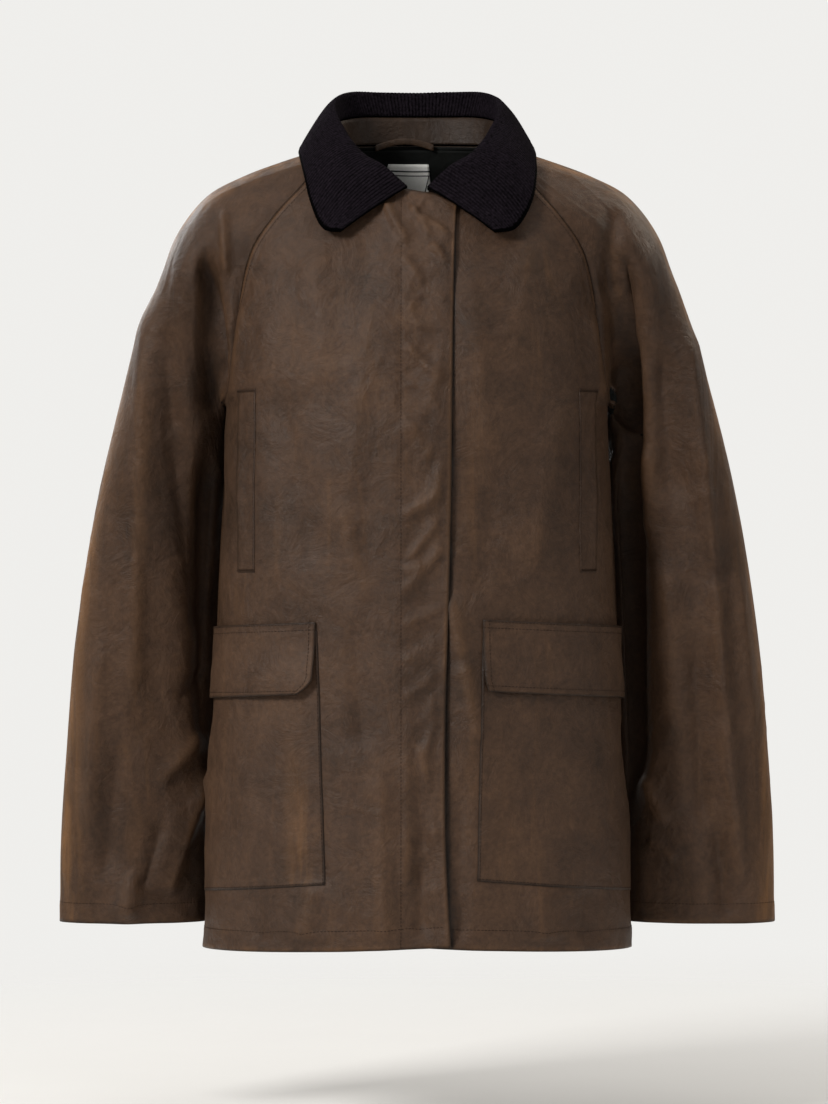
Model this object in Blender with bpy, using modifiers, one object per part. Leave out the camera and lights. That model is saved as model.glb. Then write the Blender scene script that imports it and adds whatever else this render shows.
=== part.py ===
"""Waxed cotton field jacket, hollow, as it hangs on an unseen figure.

The frame: +Z up, the front faces -Y, +X is the wearer's left. The origin is the middle of the neck
opening, level with the tops of the shoulders. Tables and sizes are in millimetres; the meshes are in metres.
Each cut piece is an open grid of cloth, thickened by a Solidify modifier.
"""

import math

import bpy
import numpy as np

MM = 0.001
LEFT, RIGHT = 1, -1  # the wearer's sides, as the sign of x

CLOTH = 1.6  # waxed cotton, with its turned seams
THIN_CLOTH = 1.0  # lining, label and hanger loop
CORDUROY = 2.6  # upper and under collar together
SEAM_GAP = 0.4  # between the edges of two pieces
CORNER_ROOM = 0.8  # how much further they part at a square corner, as a share of the wall
LAYER_GAP = 0.35  # between two pieces that lie on each other
ON_TOP = CLOTH + LAYER_GAP  # from one cloth to the next that lies on it

SIDE_SEAM = 100.0  # degrees round the body from the centre front
LEFT_EDGE_X = -13.0  # the left front runs on under the right one to here
LAP_RISE = 4.5  # the right front stands this far off the left one
LAP_BEGINS, LAP_FULL = 52.0, 16.0  # from the centre front, where that rise starts and is whole
LAP_CORNER = 8.0  # how far the top of the lapping edge is cut down
NECK_EDGE_Z = -53.0  # centre front of the neckline
NECK_BACK_Z = 7.0  # centre back of the neckline
COLLAR_END_X = 11.0  # where the collar starts, either side of the centre front
UNDERARM_Z = -247.0

SEAM_ROWS, NECK_COLUMNS = 10, 2
FRONT_COLUMNS, BACK_COLUMNS, COLLAR_COLUMNS = 12, 14, 24
SLEEVE_STATIONS = (0, 20, 44, 72, 100, 124, 141, 157, 178, 206, 242, 290, 350, 420, 500, 590, 690, 843)


def table(columns, rows):
    """A short table as a dictionary of its named columns."""
    return dict(zip(columns.split(), np.array(rows, float).T))


BODY = table("z half_width front back squareness", [
    (12, 70, 32, 64, 2.1),
    (0, 88, 38, 70, 2.1),
    (-14, 118, 47, 77, 2.1),
    (-30, 150, 58, 85, 2.2),
    (-50, 171, 70, 94, 2.3),
    (-80, 177, 86, 104, 2.4),
    (-120, 177, 102, 114, 2.4),
    (-180, 177, 117, 121, 2.4),
    (-250, 180, 127, 123, 2.4),
    (-320, 185, 131, 121, 2.4),
    (-400, 190, 134, 122, 2.35),
    (-600, 197, 141, 130, 2.3),
    (-775, 203, 148, 142, 2.25),
])
# Heights of the rows of cloth below the underarm: at the front edge, the side seam and the centre back.
ROWS = table("front side back", [
    (-747, -760, -770),  # hem
    (-713, -735, -742),
    (-679, -709, -716),  # bottom of the patch pockets
    (-636, -663, -670),
    (-593, -617, -624),
    (-550, -571, -578),
    (-508, -526, -532),  # bottom of the flaps
    (-475, -491, -497),
    (-443, -458, -462),  # top of the flaps
    (-405, -415, -418),
    (-366, -373, -375),
    (-328, -331, -332),
    (-290, -289, -290),
])
RIGHT_EDGE = table("z x", [
    (-747, 31),
    (-650, 26.5),
    (-560, 26),
    (-400, 30),
    (-240, 32),
    (-100, 34),
    (-40, 35),
])
RAGLAN_FRONT = table("angle z", [
    (SIDE_SEAM, UNDERARM_Z),
    (90, -245),
    (81, -234),
    (76, -195),
    (73, -143),
    (70.5, -108),
    (66.5, -76),
    (64, -44),
    (66, -12),
])
RAGLAN_BACK = table("angle z", [
    (SIDE_SEAM, UNDERARM_Z),
    (104, -238),
    (107, -205),
    (110, -160),
    (114, -118),
    (118.5, -80),
    (122, -45),
    (124, -20),
    (125.5, 4),
])
# The overarm seam is the sleeve's outer edge and the underarm seam its inner one. Front and back are how far
# the cloth stands off the plane between them.
SLEEVE = table("along over_x over_y over_z under_x under_y under_z front back", [
    (0, 81, 2, 0, 175.4, 30.9, UNDERARM_Z, 60, 60),
    (47, 126, 2, -14, 180.8, 35, -247, 60, 60),
    (90, 166, 3, -29, 181.2, 39, -248.5, 61, 60),
    (127, 198, 5, -46, 181, 42, -251, 62, 61),
    (151, 214.5, 7, -63, 180.6, 44, -254, 62, 62),
    (177, 229, 9, -85, 180.4, 46, -259, 63, 62),
    (212, 241.5, 12, -117, 181, 48, -268, 63, 63),
    (273, 263, 17, -175, 182.4, 50, -286, 63, 63),
    (342, 282, 22, -241, 183, 52, -314, 62, 62),
    (420, 301, 27, -317, 186, 53, -360, 60, 60),
    (508, 317, 32, -403, 190, 53, -428, 57, 58),
    (594, 328.5, 36, -488, 193.5, 53, -504, 53, 54),
    (680, 335.5, 39, -574, 196.5, 53, -584, 48, 49),
    (765, 341, 41, -660, 199, 53, -665, 42, 43),
    (843, 342, 42, -739, 201, 53, -739, 37, 38),
])
SLEEVE_SQUARENESS = 2.2
SLEEVE_FREE = 300.0  # along the overarm, where the seam's shape has died out of the sleeve

# The collar from its front end to the centre back: its roll line and outer edge. Crown is how much the fall
# rounds over, from 0 for a straight edge; fuller is how much further the left leaf's edge reaches.
COLLAR = table("roll_x roll_y roll_z edge_x edge_y edge_z crown fuller", [
    (10, -79, -45, 71, -99, -88, 0.1, 1),
    (31, -75, -26, 88, -93, -84, 0.4, 4),
    (50, -64, -14, 99, -77, -60, 0.7, 7),
    (62, -51, 0, 105, -58, -34, 0.8, 6),
    (70, -36, 14, 110, -34, -15, 0.7, 2),
    (77, -17, 29, 112, -6, -5, 0.6, 0),
    (79, 8, 42, 110, 22, -2, 0.6, 0),
    (74, 34, 51, 101, 52, -3, 0.7, 0),
    (60, 54, 57, 80, 79, -12, 0.9, 0),
    (32, 67, 58, 44, 92, -20, 1.0, 0),
    (0, 70, 58, 0, 96, -22, 1.0, 0),
])
STAND_CLEAR = 2.2  # from the neckline to the stand's lower edge
STAND_ROWS = (0.0, 0.27, 0.54)  # 0 is the neckline, 1 the roll line and 2 the outer edge
FALL_ROWS = (0.57, 0.78, 1.0, 1.12, 1.3, 1.55, 1.8, 2.0)

POCKET_ROWS, FLAP_ROWS = (2, 7.8), (6, 8)  # from the hem, bottom and top
# Inner edges of the pockets and flaps and both edges of the welts, as x on the front, at the bottom and top.
POCKETS = table("side pocket_bottom pocket_top flap_bottom flap_top welt_inner welt_outer", [
    (RIGHT, 84, 92, 94, 93, 150, 166),
    (LEFT, 55, 60, 61, 59.5, 150, 166),
])
POCKET_BACK_EDGE = 0.6  # of a column in front of the side seam
FLAP_LIFT = {RIGHT: 5.0, LEFT: 1.5}  # how far the flap's inner corner stands up

WELT_Z, WELT_ROWS, WELT_COLUMNS, WELT_RISE = (-404, -233), 6, 4, 1.3

LINING_ROWS, LINING_GAP = 5, 1.2  # how many rows of the back it covers, and how far inside it hangs
LABEL_X, LABEL_Z = (-30, 12), (-53, -8.5)
LOOP_X, LOOP_ARCH, LOOP_WIDTH, LOOP_OUT, LOOP_COLUMNS = (-40, 16), 6.0, 6.0, 4.0, 10

# The largest soft folds, by where they run as seen from the front. Height is towards the front of a front
# fold or the back of a back one, and away from it where negative.
FRONT_FOLDS = table("x0 z0 x1 z1 width height0 height1", [
    (184, -62, 179, -140, 9, -5, -12),
    (182, -135, 197, -262, 10, -12, -22),
    (195, -290, 203, -660, 11, -22, -8),
    (-197, -100, -198, -250, 10, -6, -16),
    (-196, -290, -204, -520, 9, -10, -4),
    (-214, -90, -206, -300, 16, 3, 6),
    (216, -90, 214, -330, 18, 3, 7),
    (-150, -120, -120, -430, 30, 3, 4),
    (96, -130, 118, -400, 30, 4, 3),
    (56, -360, 46, -740, 26, 4, 6),
    (-52, -430, -62, -745, 28, 4, 6),
    (-270, -330, -246, -560, 20, -5, -5),
    (-206, -610, -282, -735, 15, 7, 5),
    (236, -360, 262, -700, 24, 4, 4),
])
BACK_FOLDS = table("x0 z0 x1 z1 width height0 height1", [
    (190, -70, 199, -256, 12, -6, -18),
    (-194, -80, -199, -256, 11, -5, -17),
    (-120, -90, -96, -420, 34, 4, 4),
    (128, -110, 92, -460, 32, 4, 3),
    (-58, -380, -72, -755, 30, 4, 7),
    (20, -330, 34, -755, 26, -3, -6),
    (96, -420, 118, -755, 28, 3, 6),
    (-262, -300, -286, -620, 22, -5, -4),
    (258, -340, 280, -640, 24, 4, 5),
])


def smooth(at, knots, values):
    """A cubic curve through the knots of a table."""
    slopes = np.gradient(values, knots)
    first = np.clip(np.searchsorted(knots, at) - 1, 0, len(knots) - 2)
    step = knots[first + 1] - knots[first]
    t = np.clip((at - knots[first]) / step, 0, 1)
    start, end = values[first], values[first + 1]
    bend = t * (1 - t) * ((1 - t) * slopes[first] - t * slopes[first + 1]) * step
    return start + (end - start) * t * t * (3 - 2 * t) + bend


def smoothstep(t):
    t = np.clip(t, 0, 1)
    return t * t * (3 - 2 * t)


def unit(vectors):
    return vectors / np.linalg.norm(vectors, axis=-1, keepdims=True)


def body_point(angle, z):
    """The body's cloth at an angle in degrees from the centre front, turning towards the wearer's left."""
    angle, z = np.broadcast_arrays(np.asarray(angle, float), np.asarray(z, float))
    rising = {name: values[::-1] for name, values in BODY.items()}
    half, front, back, power = (
        smooth(z, rising["z"], rising[name]) for name in ("half_width", "front", "back", "squareness")
    )
    sine, cosine = np.sin(np.radians(angle)), np.cos(np.radians(angle))
    depth = np.where(cosine >= 0, front, back)
    radius = (np.abs(sine / half) ** power + np.abs(cosine / depth) ** power) ** (-1 / power)
    return np.stack([radius * sine, -radius * cosine, z], axis=-1)


def angle_at(x, z):
    """The angle round the front of the body at which its cloth is x from the middle."""
    rising = {name: values[::-1] for name, values in BODY.items()}
    half, front, power = (smooth(z, rising["z"], rising[name]) for name in ("half_width", "front", "squareness"))
    share = np.clip(np.abs(x) / half, 0, 0.9999)
    return np.degrees(np.arctan2(x, front * (1 - share ** power) ** (1 / power)))


def evenly(path, count):
    """Where count + 1 evenly spaced points lie along a path of points, as shares of its index."""
    lengths = np.concatenate([[0], np.cumsum(np.linalg.norm(np.diff(path, axis=0), axis=1))])
    return np.interp(np.linspace(0, lengths[-1], count + 1), lengths, np.linspace(0, 1, len(path)))


def raglan(seam, count):
    """Angles and heights of count + 1 evenly spaced points up a raglan seam."""
    knots = np.linspace(0, 1, len(seam["z"]))
    fine = np.linspace(0, 1, 400)
    path = body_point(smooth(fine, knots, seam["angle"]), smooth(fine, knots, seam["z"]))
    at = evenly(path, count)
    return smooth(at, knots, seam["angle"]), smooth(at, knots, seam["z"])


def side_line(seam):
    """Angles and heights up the side seam and then the raglan seam, a row of the grid at each."""
    angles, heights = raglan(seam, SEAM_ROWS)
    return np.concatenate([np.full(len(ROWS["side"]), SIDE_SEAM), angles]), np.concatenate([ROWS["side"], heights])


def centre_line(column, top):
    """Heights of the rows at the front edge or the centre back."""
    return np.concatenate([ROWS[column], np.linspace(UNDERARM_Z - 4, top, SEAM_ROWS + 1)])


def normals(grid):
    """The cloth's normal at each point of a grid of rows and columns."""
    return unit(np.cross(np.gradient(grid, axis=1), np.gradient(grid, axis=0)))


def raised(grid, facing, height):
    """The grid moved out of the jacket. Facing is 1 where its normals point that way already and -1 where not."""
    return grid + normals(grid) * facing * np.asarray(height)[..., None]


def folded(grid, folds, towards, loose):
    """The grid with its folds, towards the front, -1, or the back, 1. Loose is 0 where a seam holds the cloth."""
    height = np.zeros(grid.shape[:-1])
    for x0, z0, x1, z1, width, start, end in zip(*folds.values()):
        run = np.array([x1 - x0, z1 - z0])
        offset = grid[..., [0, 2]] - (x0, z0)
        t = offset @ run / (run @ run)
        across = (offset[..., 0] * run[1] - offset[..., 1] * run[0]) / np.hypot(*run)
        taper = smoothstep((t + 0.12) / 0.3) * smoothstep((1.12 - t) / 0.24)
        height += (start + (end - start) * np.clip(t, 0, 1)) * taper * np.exp(-((across / width) ** 2))
    turned = smoothstep(np.abs(normals(grid)[..., 1]) * 1.6)
    moved = grid.copy()
    moved[..., 1] += towards * height * turned * loose
    return moved


def front_grid(side):
    """A front, from its edge past the centre to the side seam, up to the neckline and the raglan seam."""
    angles, heights = side_line(RAGLAN_FRONT)
    share = np.linspace(0, 1, FRONT_COLUMNS + 1)
    rows = []
    for row, (angle, height, edge_z) in enumerate(zip(angles, heights, centre_line("front", NECK_EDGE_Z))):
        edge_x = smooth(edge_z, RIGHT_EDGE["z"], RIGHT_EDGE["x"]) if side == RIGHT else -LEFT_EDGE_X
        edge_angle = -angle_at(edge_x, edge_z)
        at_neck = (row / (len(angles) - 1)) ** 5
        rise = share ** (1 + 1.2 * at_neck)
        z = edge_z + (height - edge_z) * rise
        if side == RIGHT:
            z = z - LAP_CORNER * at_neck ** 2 * smoothstep(1 - share * FRONT_COLUMNS / 2)
        rows.append(body_point(edge_angle + (angle - edge_angle) * share, z))
    grid = np.array(rows)
    grid[..., 0] *= side
    loose = smoothstep((1 - share) / 0.09) * np.ones((len(rows), 1))
    grid = folded(grid, FRONT_FOLDS, -1, loose)
    if side == RIGHT:
        lap = LAP_RISE * smoothstep((LAP_BEGINS + grid[..., 0]) / (LAP_BEGINS - LAP_FULL))
        grid = raised(grid, side, lap)
    return grid


def back_grid():
    """The back, from the right side seam round to the left one."""
    angles, heights = side_line(RAGLAN_BACK)
    share = np.linspace(-1, 1, BACK_COLUMNS + 1)
    rows = [
        body_point(180 - (180 - angle) * share, z + (height - z) * share ** 2)
        for angle, height, z in zip(angles, heights, centre_line("back", NECK_BACK_Z))
    ]
    loose = smoothstep((1 - np.abs(share)) / 0.12) * np.ones((len(rows), 1))
    return folded(np.array(rows), BACK_FOLDS, 1, loose)


def sleeve_edge(seam):
    """The sleeve's upper edge, for the wearer's left: from the shoulder along the neck and down the raglan seam."""
    angles, heights = raglan(seam, SEAM_ROWS)
    down = body_point(angles, heights)[::-1]
    shoulder = np.array([SLEEVE[f"over_{axis}"][0] for axis in "xyz"])
    share = np.linspace(0, 1, NECK_COLUMNS + 1)[:-1, None]
    outward = np.array([[2.0, 0, 0]]) * np.sin(share * math.pi)
    return np.concatenate([shoulder + (down[0] - shoulder) * share + outward, down])


def sleeve_grid(side, seam, towards, stations):
    """Half a sleeve, from the overarm seam to the underarm seam; towards is -1 for the front half."""
    edge = sleeve_edge(seam)
    lengths = np.concatenate([[0], np.cumsum(np.linalg.norm(np.diff(edge, axis=0), axis=1))])
    turn = math.pi * lengths / lengths[-1]
    cosine = np.sign(np.cos(turn)) * np.abs(np.cos(turn)) ** (2 / SLEEVE_SQUARENESS)
    tube_share, tube_depth = (1 - cosine) / 2, np.abs(np.sin(turn)) ** (2 / SLEEVE_SQUARENESS)
    rows = []
    for along in stations:
        row = {name: smooth(along, SLEEVE["along"], values) for name, values in SLEEVE.items()}
        over = np.array([row["over_x"], row["over_z"]])
        under = np.array([row["under_x"], row["under_z"]])
        length = np.hypot(*(under - over))
        run = (under - over) / length
        outward = np.array([-run[1], run[0]])
        if not rows:
            offset = edge[:, [0, 2]] - over
            seam_share, seam_bow = offset @ run / length, offset @ outward
            seam_depth = edge[:, 1] - (row["over_y"] + (row["under_y"] - row["over_y"]) * seam_share)
        free = smoothstep(along / SLEEVE_FREE)
        share = seam_share + (tube_share - seam_share) * free
        depth = towards * tube_depth * row["front" if towards < 0 else "back"]
        depth = seam_depth + (depth - seam_depth) * free
        plane = over + np.outer(share * length, run) + np.outer(seam_bow * (1 - free), outward)
        y = row["over_y"] + (row["under_y"] - row["over_y"]) * share + depth
        rows.append(np.stack([plane[:, 0], y, plane[:, 1]], axis=-1))
    grid = np.array(rows)
    grid[..., 0] *= side
    loose = smoothstep(np.array(stations) / 24)[:, None] * smoothstep(tube_depth / 0.6)
    return folded(grid, FRONT_FOLDS if towards < 0 else BACK_FOLDS, towards, loose)


EDGES = {
    "first_row": (np.s_[0], np.s_[1]),
    "last_row": (np.s_[-1], np.s_[-2]),
    "first_column": (np.s_[:, 0], np.s_[:, 1]),
    "last_column": (np.s_[:, -1], np.s_[:, -2]),
}


def unpicked(grids, wall):
    """The grids with every seam between two of them opened, wider where the cloth turns a sharp corner there."""
    edges = []
    for name, grid in grids.items():
        for end, beside in EDGES.values():
            step = grid[beside] - grid[end]
            along = unit(np.gradient(grid[end], axis=0))
            step = step - along * (step * along).sum(axis=-1, keepdims=True)
            edges.append((name, end, grid[end], unit(step)))
    opened = {name: grid.copy() for name, grid in grids.items()}
    for name, end, points, inward in edges:
        back_off = np.zeros(len(points))
        for other, _, other_points, other_inward in edges:
            if other == name:
                continue
            apart = np.linalg.norm(points[:, None] - other_points, axis=-1)
            nearest = apart.argmin(axis=1)
            cosine = np.clip((inward * other_inward[nearest]).sum(axis=-1), -1, 0.97)
            corner = SEAM_GAP / 2 + wall * CORNER_ROOM * np.sqrt((1 + cosine) / (1 - cosine))
            sewn = apart.min(axis=1) < 0.01
            if sewn.sum() > 1:
                back_off = np.maximum(back_off, np.where(sewn, corner, 0))
        opened[name][end] += inward * back_off[:, None]
    return opened


def neckline(grids):
    """The neck edges of the pieces as one path, from the collar's right end to its left one."""
    halves = []
    for hand, back_columns in (("right", np.s_[: BACK_COLUMNS // 2 + 1]), ("left", np.s_[: BACK_COLUMNS // 2 - 1 : -1])):
        front = grids[f"front_{hand}"][-1]
        reach = np.abs(front[:, 0]) * np.sign(front[:, 0] * front[-1, 0])
        first = int(np.argmax(reach > COLLAR_END_X))
        t = (COLLAR_END_X - reach[first - 1]) / (reach[first] - reach[first - 1])
        halves.append(np.concatenate([
            [front[first - 1] + (front[first] - front[first - 1]) * t],
            front[first:],
            grids[f"sleeve_front_{hand}"][0, NECK_COLUMNS - 1 :: -1],
            grids[f"sleeve_back_{hand}"][0, 1 : NECK_COLUMNS + 1],
            grids["back"][-1, back_columns][1:],
        ]))
    return np.concatenate([halves[0], halves[1][-2::-1]])


def collar_grid(neck, across_rows, columns):
    """Rows of the collar: 0 is the neckline, 1 the roll line and 2 the outer edge."""
    share = np.linspace(0, 1, columns + 1)
    at = evenly(neck, columns) * (len(neck) - 1)
    base = np.stack([np.interp(at, np.arange(len(neck)), neck[:, axis]) for axis in range(3)], axis=-1)
    knots = np.linspace(0, 1, len(COLLAR["crown"]))
    from_end = np.clip(1 - np.abs(2 * share - 1), 0, 1)
    row = {name: smooth(from_end, knots, values) for name, values in COLLAR.items()}
    mirror = np.sign(2 * share - 1)
    roll = np.stack([row["roll_x"] * mirror, row["roll_y"], row["roll_z"]], axis=-1)
    edge_x = row["edge_x"] + row["fuller"] * (mirror == LEFT)
    edge = np.stack([edge_x * mirror, row["edge_y"], row["edge_z"]], axis=-1)
    straight = (roll + edge) / 2
    rounded = np.stack([*(roll + (edge - roll) * 0.55).T[:2], roll[:, 2]], axis=-1)
    over = straight + (rounded - straight) * row["crown"][:, None]
    height = np.linalg.norm(roll - base, axis=-1, keepdims=True)
    rows = []
    for across in across_rows:
        t = across - 1
        if across <= 1:
            rows.append(base + (roll - base) * np.maximum(across, STAND_CLEAR / height))
        else:
            rows.append(roll * (1 - t) ** 2 + over * 2 * t * (1 - t) + edge * t * t)
    return np.array(rows)


def sample(values, rows, columns):
    """Values of a grid at fractional rows and columns."""
    rows, columns = np.broadcast_arrays(np.asarray(rows, float), np.asarray(columns, float))
    row = np.minimum(rows.astype(int), values.shape[0] - 2)
    column = np.minimum(columns.astype(int), values.shape[1] - 2)
    up, along = (rows - row)[..., None], (columns - column)[..., None]
    low = values[row, column] * (1 - along) + values[row, column + 1] * along
    high = values[row + 1, column] * (1 - along) + values[row + 1, column + 1] * along
    return low * (1 - up) + high * up


def lines(first, last):
    """A patch's lines: its two ends and the whole-numbered lines of the cloth between them."""
    return np.array([first, *range(math.floor(first) + 1, math.ceil(last)), last])


def patch(panel, facing, rows, columns, height):
    """A piece that lies on a panel, made from the panel's points: a row of columns for each of its rows."""
    rows = np.asarray(rows, float)
    rows = rows if rows.ndim == 2 else rows[:, None]
    return sample(panel, rows, columns) + unit(sample(normals(panel) * facing, rows, columns)) * height


def on_lines(first, last):
    """A patch's columns: its two edges, which may slant, and the cloth's own columns between them."""
    inner = np.arange(math.floor(max(first)) + 1, math.ceil(min(last)))
    return np.column_stack([first, np.tile(inner, (len(first), 1)), last])


def column_at(front, row, x):
    """The column of a front at which its cloth is x from the middle, on a row."""
    line = sample(front, row, np.arange(front.shape[1]))
    return np.interp(x, np.abs(line[2:, 0]), np.arange(2, len(line)))


def place_at(front, x, z):
    """The row and column of a front at which its cloth is x from the middle, at a height."""
    row = 0.0
    for _ in range(6):
        column = column_at(front, row, x)
        height = sample(front, np.arange(front.shape[0]), column)[:, 2]
        row = np.interp(z, height, np.arange(front.shape[0]))
    return row, column


def material(name, colour, roughness):
    made = bpy.data.materials.new(name)
    made.use_nodes = True
    shader = made.node_tree.nodes["Principled BSDF"]
    shader.inputs["Base Color"].default_value = (*colour, 1)
    shader.inputs["Roughness"].default_value = roughness
    made.diffuse_color = (*colour, 1)
    return made


def cloth(name, grid, thickness, finish):
    """One cut piece: the grid as an open surface, with Solidify on both sides of it."""
    rows, columns = grid.shape[:2]
    index = np.arange(rows * columns).reshape(rows, columns)
    corners = [index[:-1, :-1], index[:-1, 1:], index[1:, 1:], index[1:, :-1]]
    faces = np.stack(corners, axis=-1).reshape(-1, 4)
    mesh = bpy.data.meshes.new(name)
    mesh.from_pydata((grid.reshape(-1, 3) * MM).tolist(), [], faces.tolist())
    mesh.materials.append(finish)
    mesh.shade_smooth()
    piece = bpy.data.objects.new(name, mesh)
    wall = piece.modifiers.new("wall", "SOLIDIFY")
    wall.thickness = thickness * MM
    wall.offset = 0
    jacket.objects.link(piece)
    piece.parent = stand_in
    return piece


for old in list(bpy.data.objects):
    bpy.data.objects.remove(old)
jacket = bpy.data.collections.new("waxed_cotton_jacket")
bpy.context.scene.collection.children.link(jacket)
stand_in = bpy.data.objects.new("neck_centre", None)
jacket.objects.link(stand_in)

waxed = material("waxed_cotton", (0.085, 0.052, 0.034), 0.55)
corduroy = material("corduroy", (0.010, 0.008, 0.011), 0.9)
black_lining = material("black_lining", (0.010, 0.010, 0.010), 0.7)
label_white = material("label", (0.75, 0.73, 0.68), 0.8)

grids = {"front_right": front_grid(RIGHT), "front_left": front_grid(LEFT), "back": back_grid()}
for side, hand in ((RIGHT, "right"), (LEFT, "left")):
    grids[f"sleeve_front_{hand}"] = sleeve_grid(side, RAGLAN_FRONT, -1, SLEEVE_STATIONS)
    grids[f"sleeve_back_{hand}"] = sleeve_grid(side, RAGLAN_BACK, 1, SLEEVE_STATIONS)
for name, grid in unpicked(grids, CLOTH).items():
    cloth(name, grid, CLOTH, waxed)

neck = neckline(grids)
cloth("collar_stand", collar_grid(neck, STAND_ROWS, COLLAR_COLUMNS), CLOTH, waxed)
cloth("collar_fall", collar_grid(neck, FALL_ROWS, COLLAR_COLUMNS), CORDUROY, corduroy)

for side, *edges in zip(*POCKETS.values()):
    hand = "right" if side == RIGHT else "left"
    panel = grids[f"front_{hand}"]
    pocket_rows, flap_rows = lines(*POCKET_ROWS), lines(*FLAP_ROWS)
    pocket_x = np.interp(pocket_rows, POCKET_ROWS, edges[0:2])
    flap_x = np.interp(flap_rows, FLAP_ROWS, edges[2:4])
    pocket_edge = [column_at(panel, row, x) for row, x in zip(pocket_rows, pocket_x)]
    flap_edge = [column_at(panel, row, x) for row, x in zip(flap_rows, flap_x)]
    back_edge = FRONT_COLUMNS - POCKET_BACK_EDGE
    pocket_columns = on_lines(pocket_edge, [back_edge] * len(pocket_rows))
    flap_columns = on_lines(flap_edge, [back_edge] * len(flap_rows))
    places = [
        [place_at(panel, x, z) for x in np.linspace(*edges[4:6], WELT_COLUMNS + 1)]
        for z in np.linspace(*WELT_Z, WELT_ROWS + 1)
    ]
    welt_rows, welt_columns = np.moveaxis(np.array(places), -1, 0)
    flap = patch(panel, side, flap_rows, flap_columns, 2 * ON_TOP)
    lift = smoothstep(np.linspace(1, 0, len(flap)))[:, None] * smoothstep(np.linspace(1, -1, flap.shape[1]))
    cloth(f"patch_pocket_{hand}", patch(panel, side, pocket_rows, pocket_columns, ON_TOP), CLOTH, waxed)
    cloth(f"pocket_flap_{hand}", raised(flap, side, FLAP_LIFT[side] * lift), CLOTH, waxed)
    cloth(f"hand_pocket_welt_{hand}", patch(panel, side, welt_rows, welt_columns, ON_TOP + WELT_RISE), CLOTH, waxed)

# Inside the back of the neck: the lining, the label sewn to it and the hanger loop over them.
back = grids["back"]
last_row, last_column = back.shape[0] - 1, back.shape[1] - 1
lining_rows = lines(last_row - LINING_ROWS, last_row - 0.12)
lining_columns = on_lines([0.4] * len(lining_rows), [last_column - 0.4] * len(lining_rows))
in_from_back = CLOTH / 2 + LINING_GAP + THIN_CLOTH / 2
cloth("back_lining", patch(back, 1, lining_rows, lining_columns, in_from_back), THIN_CLOTH, black_lining)

label_rows = lines(*np.interp(LABEL_Z, back[:, last_column // 2, 2], np.arange(len(back))))
label_edges = np.interp(LABEL_X, back[-2, :, 0], np.arange(last_column + 1))
label_columns = on_lines([label_edges[0]] * len(label_rows), [label_edges[1]] * len(label_rows))
in_from_lining = in_from_back + THIN_CLOTH + LAYER_GAP
cloth("label", patch(back, 1, label_rows, label_columns, in_from_lining), THIN_CLOTH, label_white)

behind = neck[neck[:, 1] > 30]
behind = behind[np.argsort(behind[:, 0])]
t = np.linspace(0, 1, LOOP_COLUMNS + 1)
loop_x = LOOP_X[0] + (LOOP_X[1] - LOOP_X[0]) * t
loop_y = np.interp(loop_x, behind[:, 0], behind[:, 1]) - LOOP_OUT - 2.0 * np.sin(math.pi * t)
loop_z = np.interp(loop_x, behind[:, 0], behind[:, 2]) - 2.0 + LOOP_ARCH * np.sin(math.pi * t)
loop = np.array([
    np.stack([loop_x, loop_y, loop_z + up], axis=-1) for up in (-LOOP_WIDTH / 2, LOOP_WIDTH / 2)
])
cloth("hanger_loop", loop, THIN_CLOTH, waxed)
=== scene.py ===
"""How the waxed cotton jacket looks, built on its CAD frame.

The frame: +Z up, the front faces -Y, +X is the wearer's left. Tables and sizes are in millimetres; the meshes
are in metres. The tables of the cut and the functions that draw it are the CAD's own, with more rows and
columns, and each piece of cloth stands in for the CAD node of its name.
"""

import math

import bpy
import numpy as np
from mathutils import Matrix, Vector


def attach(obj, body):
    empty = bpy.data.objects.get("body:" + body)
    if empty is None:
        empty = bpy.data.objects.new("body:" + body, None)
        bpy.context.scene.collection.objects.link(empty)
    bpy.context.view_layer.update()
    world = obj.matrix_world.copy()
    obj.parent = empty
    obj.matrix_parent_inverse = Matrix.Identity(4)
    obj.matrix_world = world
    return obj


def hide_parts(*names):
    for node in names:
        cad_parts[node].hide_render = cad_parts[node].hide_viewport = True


MM = 0.001  # metres
LEFT, RIGHT = 1, -1  # the wearer's sides, as the sign of x

CLOTH = 1.6  # waxed cotton, with its turned seams
THIN_CLOTH = 1.0  # lining, label and hanger loop
CORDUROY = 2.6  # upper and under collar together
LAYER_GAP = 0.35  # between two pieces that lie on each other

SIDE_SEAM = 100.0  # degrees round the body from the centre front
LEFT_EDGE_X = -13.0  # the left front runs on under the right one to here
LAP_RISE = 4.5  # the right front stands this far off the left one
LAP_BEGINS, LAP_FULL = 52.0, 16.0  # from the centre front, where that rise starts and is whole
LAP_CORNER = 8.0  # how far the top of the lapping edge is cut down
NECK_EDGE_Z = -53.0  # centre front of the neckline
NECK_BACK_Z = 7.0  # centre back of the neckline
COLLAR_END_X = 11.0  # where the collar starts, either side of the centre front
UNDERARM_Z = -247.0

# Steps of the fine grids: for each row or column of the CAD's, or in all.
BODY_FINE = 11
SEAM_STEPS, NECK_STEPS = 80, 16
FRONT_STEPS, BACK_STEPS, SLEEVE_STEPS = 96, 132, 220
CAD_FRONT_COLUMNS, CAD_SEAM_ROWS = 12, 10
WALE = 3.2  # of the corduroy, from ridge to ridge
WALE_HEIGHT, WALE_STEPS = 1.05, 6
FALL_STEPS = 30

HEM = 19.0  # depth of the hems, to their stitching
STITCH_SIDES = 5
LABEL_SIZE = (50, 45)
LABEL_FRAME = ((3.5, 1.6), (8, 1.1))  # how far each printed line is from the edge, and its thickness

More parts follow.
